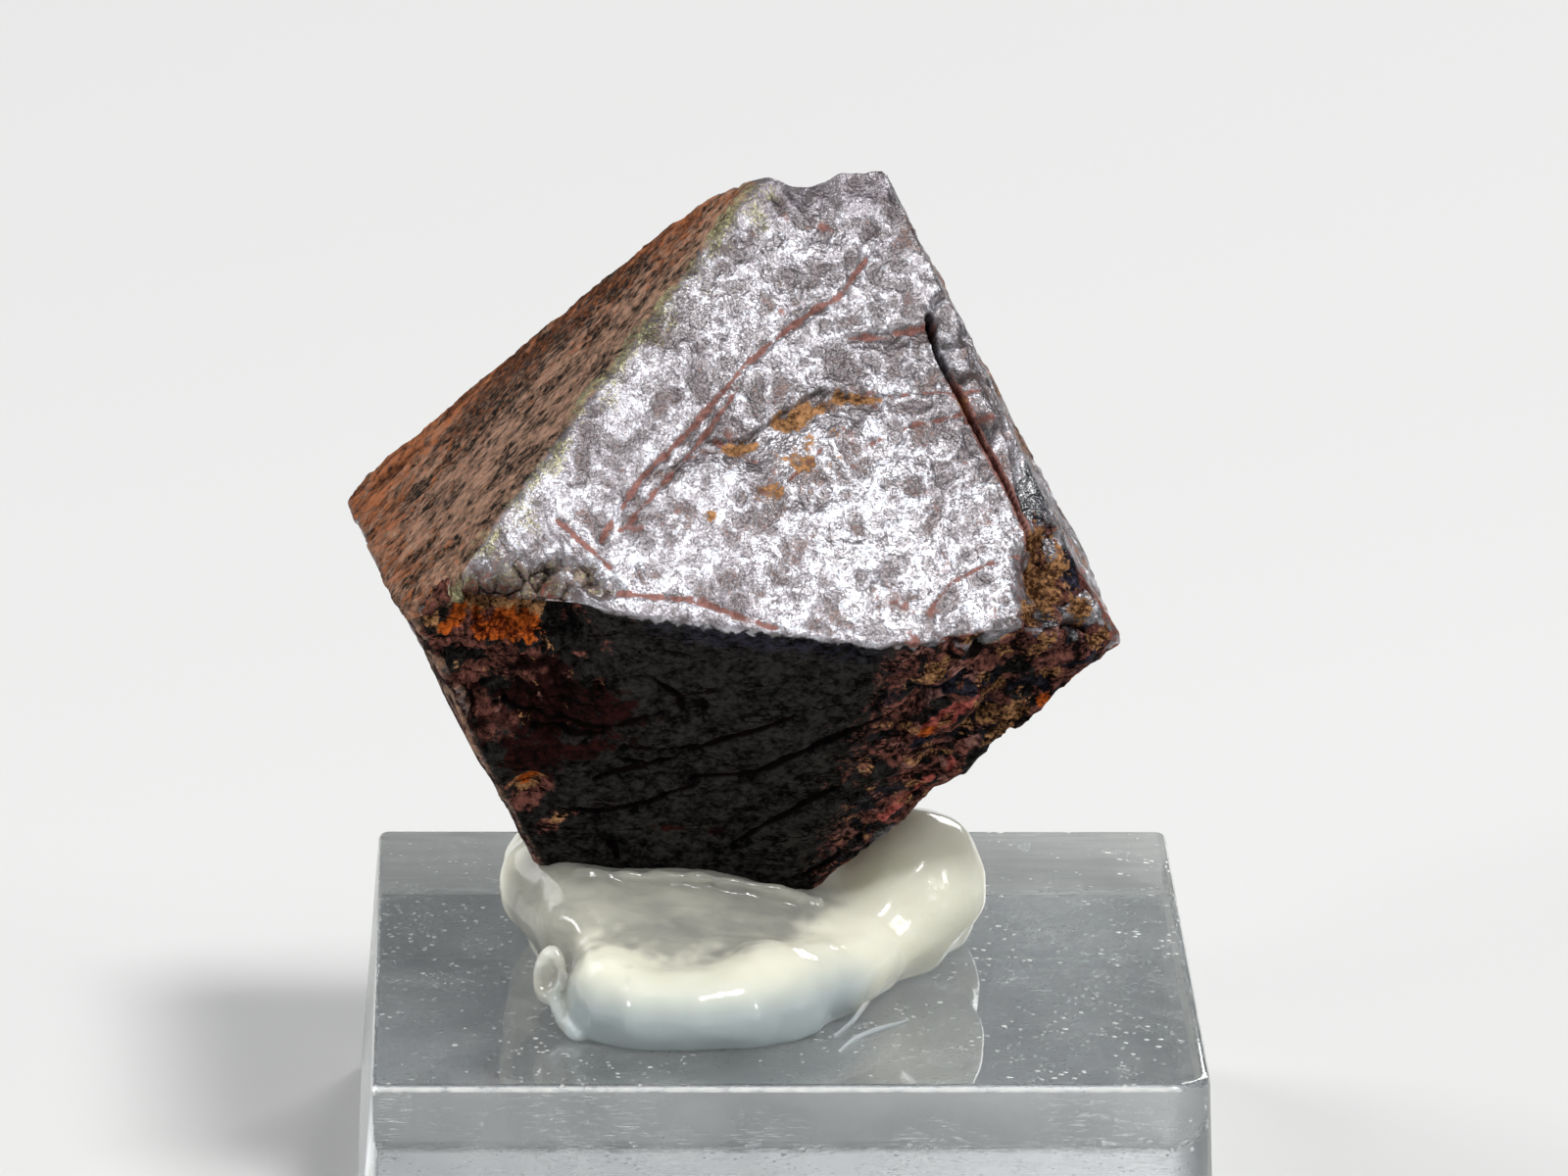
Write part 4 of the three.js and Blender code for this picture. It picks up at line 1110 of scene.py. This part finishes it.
def build_crystal():
    points, triangles = refine(*facet_fans(), step_limit)
    moved, masks = weathered(points)
    crystal = mesh_object("crystal_surface", moved + CENTRE, triangles, masks)
    crystal.data.materials.append(magnetite_material())
    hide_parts("magnetite_crystal")
    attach(crystal, "root")


def loft(rings):
    """A closed mesh from rings of points, each anticlockwise seen from above, lowest first."""
    rings = np.asarray(rings)
    levels, sides = rings.shape[:2]
    points = np.concatenate([rings.reshape(-1, 3), [rings[0].mean(0), rings[-1].mean(0)]])
    grid = np.arange(levels * sides).reshape(levels, sides)
    a, b = grid[:-1], np.roll(grid[:-1], -1, 1)
    c, d = np.roll(grid[1:], -1, 1), grid[1:]
    walls = np.concatenate([np.stack([a, b, c], -1).reshape(-1, 3), np.stack([a, c, d], -1).reshape(-1, 3)])
    low, high = levels * sides, levels * sides + 1
    bottom = np.stack([np.full(sides, low), np.roll(grid[0], -1), grid[0]], 1)
    top = np.stack([np.full(sides, high), grid[-1], np.roll(grid[-1], -1)], 1)
    return points, np.concatenate([walls, bottom, top])


def run_gap(points, run):
    """Distance to a chain of cones with round joints, below zero inside."""
    nearest = np.full(len(points), 1e9)
    for (*start, first), (*end, last) in zip(run, run[1:]):
        line = np.subtract(end, start)
        share = np.clip((points - start) @ line / (line @ line), 0, 1)
        gap = np.linalg.norm(points - start - share[:, None] * line, axis=1)
        nearest = np.minimum(nearest, gap - first - (last - first) * share)
    return nearest


def soft_min(first, second, softness):
    """The lesser of the two, with the change from one to the other rounded over softness."""
    share = np.clip(0.5 + 0.5 * (second - first) / softness, 0, 1)
    return second + (first - second) * share - softness * share * (1 - share)


def apron_gap(points):
    """Distance to the slope's body, the space under all its sides, below zero inside."""
    gap = np.full(len(points), -1e9)
    for normal, at in GLUE_APRON:
        side = (points - at) @ normal / np.linalg.norm(normal)
        gap = -soft_min(-gap, -side, APRON_BLEND)
    return gap


def glue_gap(points):
    """About the distance to the glue's surface, below zero inside."""
    gap = apron_gap(points)
    for run in GLUE_RUNS:
        gap = soft_min(gap, run_gap(points, run), GLUE_BLEND)
    middle, facing, ring, wall = GLUE_CURL
    facing = np.array(facing) / np.linalg.norm(facing)
    sideways = np.cross(facing, (0, 0, 1))
    aside = points - middle
    height = aside @ facing
    radius = np.hypot(aside @ sideways / CURL_SHAPE[0], aside @ np.cross(sideways, facing) / CURL_SHAPE[1])
    curl = np.minimum(np.hypot(radius - ring, height) - wall, np.hypot(radius, height / 0.3 + 0.3) - ring)
    gap = gap - RIPPLE_HEIGHT * noise(points, 1.9) - FINE_RIPPLE_HEIGHT * noise(points + 9.0, 0.8)
    gap = soft_min(gap, run_gap(points, GLUE_TAIL), TAIL_BLEND)
    gap = soft_min(gap, curl, CURL_BLEND)
    gap = soft_min(gap, run_gap(points, GLUE_BEAD) - BEAD_UNEVENNESS * noise(points, 0.55), BEAD_BLEND)
    return -soft_min(-gap, points[:, 2] - BLOCK_HEIGHT - GLUE_LIFT, FOOT_BLEND)


def surface_net(field, start, step):
    """Points and quads where the values on a grid pass through zero; inside is below zero."""
    shape = tuple(n - 1 for n in field.shape)
    total = np.zeros((*shape, 3))
    count = np.zeros(shape)

    def shifted(offset):
        return field[tuple(slice(o, o + n) for o, n in zip(offset, shape))]

    for axis in range(3):
        for offset in itertools.product((0, 1), repeat=2):
            low, high = list(offset), list(offset)
            low.insert(axis, 0)
            high.insert(axis, 1)
            first, last = shifted(low), shifted(high)
            crossed = (first < 0) != (last < 0)
            count += crossed
            total += crossed[..., None] * np.array(low)
            total[..., axis] += np.where(crossed, first / np.where(crossed, first - last, 1), 0)
    used = count > 0
    number = np.cumsum(used.ravel()).reshape(shape) - 1
    points = start + step * (np.argwhere(used) + total[used] / count[used][:, None])
    quads = []
    for axis in range(3):
        ahead = np.moveaxis(field < 0, axis, 0)
        changed = np.argwhere(ahead[:-1] != ahead[1:])
        outward = ahead[tuple(changed.T)]
        others = [(axis + 1) % 3, (axis + 2) % 3]
        order = [axis] + [i for i in range(3) if i != axis]
        edge = np.zeros_like(changed)
        edge[:, order] = changed
        around = []
        for shift in ((0, 0), (-1, 0), (-1, -1), (0, -1)):
            cell = edge.copy()
            cell[:, others] += shift
            around.append(number[tuple(cell.T)])
        quad = np.stack(around, 1)
        quad[~outward] = quad[~outward][:, ::-1]
        quads.append(quad)
    return points, np.concatenate(quads)


def glue_surface():
    low, high = np.array(GLUE_BOX)
    counts = np.ceil((high - low) / GLUE_GRID).astype(int)
    axes = [low[i] + GLUE_GRID * np.arange(counts[i]) for i in range(3)]
    grid = np.stack(np.meshgrid(*axes, indexing="ij"), -1).reshape(-1, 3)
    points, quads = surface_net(glue_gap(grid).reshape(counts), low, GLUE_GRID)
    nudge = 0.02
    for _ in range(2):  # moves the points onto the surface itself
        gap = glue_gap(points)
        slope = np.stack([glue_gap(points + nudge * axis) - gap for axis in np.eye(3)], 1) / nudge
        steepness = np.maximum((slope * slope).sum(1), 0.25)
        points -= slope * (gap / steepness)[:, None]
    return points, quads.tolist()


def strand(run, sides=8, steps=14):
    """A round thread along a run, as points and faces."""
    *path, radius = np.array(run).T
    path = np.array(path).T
    places = np.linspace(0, len(path) - 1, steps)
    line = np.stack([np.interp(places, np.arange(len(path)), path[:, i]) for i in range(3)], 1)
    line = np.concatenate([line[:1], (line[:-2] + 2 * line[1:-1] + line[2:]) / 4, line[-1:]])
    radius = np.interp(places, np.arange(len(path)), radius)
    ahead = np.gradient(line, axis=0)
    ahead /= np.linalg.norm(ahead, axis=1, keepdims=True)
    aside = np.cross(ahead, (0, 0, 1))
    above = np.cross(aside, ahead)
    turn = np.arange(sides) * 2 * math.pi / sides
    rings = [line[i] + radius[i] * (np.outer(np.cos(turn), aside[i]) + np.outer(np.sin(turn), above[i]))
             for i in range(steps)]
    return loft(rings)


def build_glue():
    points, faces = glue_surface()
    for run in GLUE_STRANDS:
        more, triangles = strand(run)
        faces += (triangles + len(points)).tolist()
        points = np.concatenate([points, more])
    # where the grey of the crystal seen through the thin glue and of its shadow is painted
    on_slope = (-4.4 - points[:, 1]) / 3.1
    ragged = 0.25 * noise(points, 0.9) + 0.12 * noise(points, 0.35)
    painted_see_through_shade = ramp(on_slope + ragged, 1.3, 0.7) * ramp(points[:, 0] + 1.9 * on_slope + ragged, 1.6, 0.5)
    painted_see_through_shade = painted_see_through_shade * ramp(points[:, 1], -2.5, -3.8)
    cool = ramp(points[:, 2], 10.6, 9.0) * ramp(points[:, 1], -5.0, -7.0)
    glue = mesh_object("glue_lump", points, faces, {"painted_see_through_shade": painted_see_through_shade, "cool": cool})
    glue.data.materials.append(glue_material())
    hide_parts("hot_glue")
    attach(glue, "root")


def block_ring(z, inset, steps=18):
    """The block's outline at a height, drawn in by inset, with each corner rounded in steps."""
    spread = 1 - z / BLOCK_HEIGHT
    reach = {side: BLOCK_SIDE / 2 - inset + flare * spread for side, flare in FLARE.items()}
    ring = []
    for x, y, start, radius in (
            (reach["right"], -reach["front"], -90, WORN_CORNER),
            (reach["right"], reach["back"], 0, CORNER),
            (-reach["left"], reach["back"], 90, CORNER),
            (-reach["left"], -reach["front"], 180, CORNER)):
        radius = max(radius - inset, 0.1)
        for step in range(steps + 1):
            angle = math.radians(start + 90 * step / steps)
            ring.append((x - math.copysign(radius, x) + radius * math.cos(angle),
                         y - math.copysign(radius, y) + radius * math.sin(angle), z))
    return ring


def build_block():
    turns = [math.radians(90 * i / BEVEL_STEPS) for i in range(BEVEL_STEPS + 1)]
    low = [block_ring(BEVEL * (1 - math.sin(a)), BEVEL * (1 - math.cos(a))) for a in reversed(turns)]
    high = [block_ring(BLOCK_HEIGHT - BEVEL * (1 - math.sin(a)), BEVEL * (1 - math.cos(a))) for a in turns]
    points, triangles = loft(low + high)
    block = mesh_object("clear_block", points, triangles, smooth=False)
    block.data.materials.append(acrylic_material())
    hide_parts("acrylic_block")
    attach(block, "root")


# ---- Studio ----

FLOOR_REACH = 3000
FLOOR_GAP = 0.03  # between it and the block
FLOOR_COLOUR = rgb(222, 222, 220)
# Lights: direction from the crystal, distance, side and power
LIGHTS = {
    "key": ((0.264, -0.483, 0.836), 600, 120, 2.6),
    "fill": ((-0.7, 0.35, 0.62), 700, 400, 1.6),
    "back": ((0.35, 0.85, 0.4), 700, 300, 2.0),
    "low right": ((0.8, -0.62, 0.3), 600, 110, 0.6),
    "low left": ((-0.8, -0.55, 0.4), 600, 110, 0.65),
}
SKY = (0.9, 0.95, 1.0, 1.0)
SKY_STRENGTH = 0.18


def build_floor():
    corners = [(x * FLOOR_REACH, y * FLOOR_REACH, -FLOOR_GAP)
               for x, y in ((-1, -1), (1, -1), (1, 1), (-1, 1))]
    floor = mesh_object("floor", corners, [(0, 1, 2), (0, 2, 3)], smooth=False)
    nodes = Nodes("pale_floor")
    floor.data.materials.append(nodes.set(Base_Color=FLOOR_COLOUR, Roughness=0.9))


def area_light(name, direction, distance, size, power):
    """A soft square light, that far from the crystal in that direction and facing it."""
    light = bpy.data.lights.new(name, "AREA")
    light.size = size * MM
    light.energy = power
    lamp = bpy.data.objects.new(name, light)
    away = Vector(direction).normalized()
    lamp.location = (Vector(CENTRE) + away * distance) * MM
    lamp.rotation_mode = "QUATERNION"
    lamp.rotation_quaternion = away.to_track_quat("Z", "Y")
    bpy.context.scene.collection.objects.link(lamp)


def build_studio():
    build_floor()
    for name, placing in LIGHTS.items():
        area_light(name, *placing)
    world = bpy.data.worlds.new("studio")
    world.use_nodes = True
    background = world.node_tree.nodes["Background"]
    background.inputs["Color"].default_value = SKY
    background.inputs["Strength"].default_value = SKY_STRENGTH
    bpy.context.scene.world = world
    bpy.context.scene.view_settings.view_transform = "Standard"


def build_camera():
    data = bpy.data.cameras.new("camera")
    data.lens = LENS
    data.sensor_width = SENSOR
    data.clip_start = 0.01
    data.clip_end = 10
    camera = bpy.data.objects.new("camera", data)
    ahead, upward = Vector(CAMERA_AHEAD).normalized(), Vector(CAMERA_UP).normalized()
    turn = Matrix((ahead.cross(upward).normalized(), upward, -ahead)).transposed()
    camera.matrix_world = Matrix.Translation(Vector(CAMERA_AT) * MM) @ turn.to_4x4()
    bpy.context.scene.collection.objects.link(camera)
    bpy.context.scene.camera = camera


build_crystal()
build_glue()
build_block()
build_studio()
build_camera()
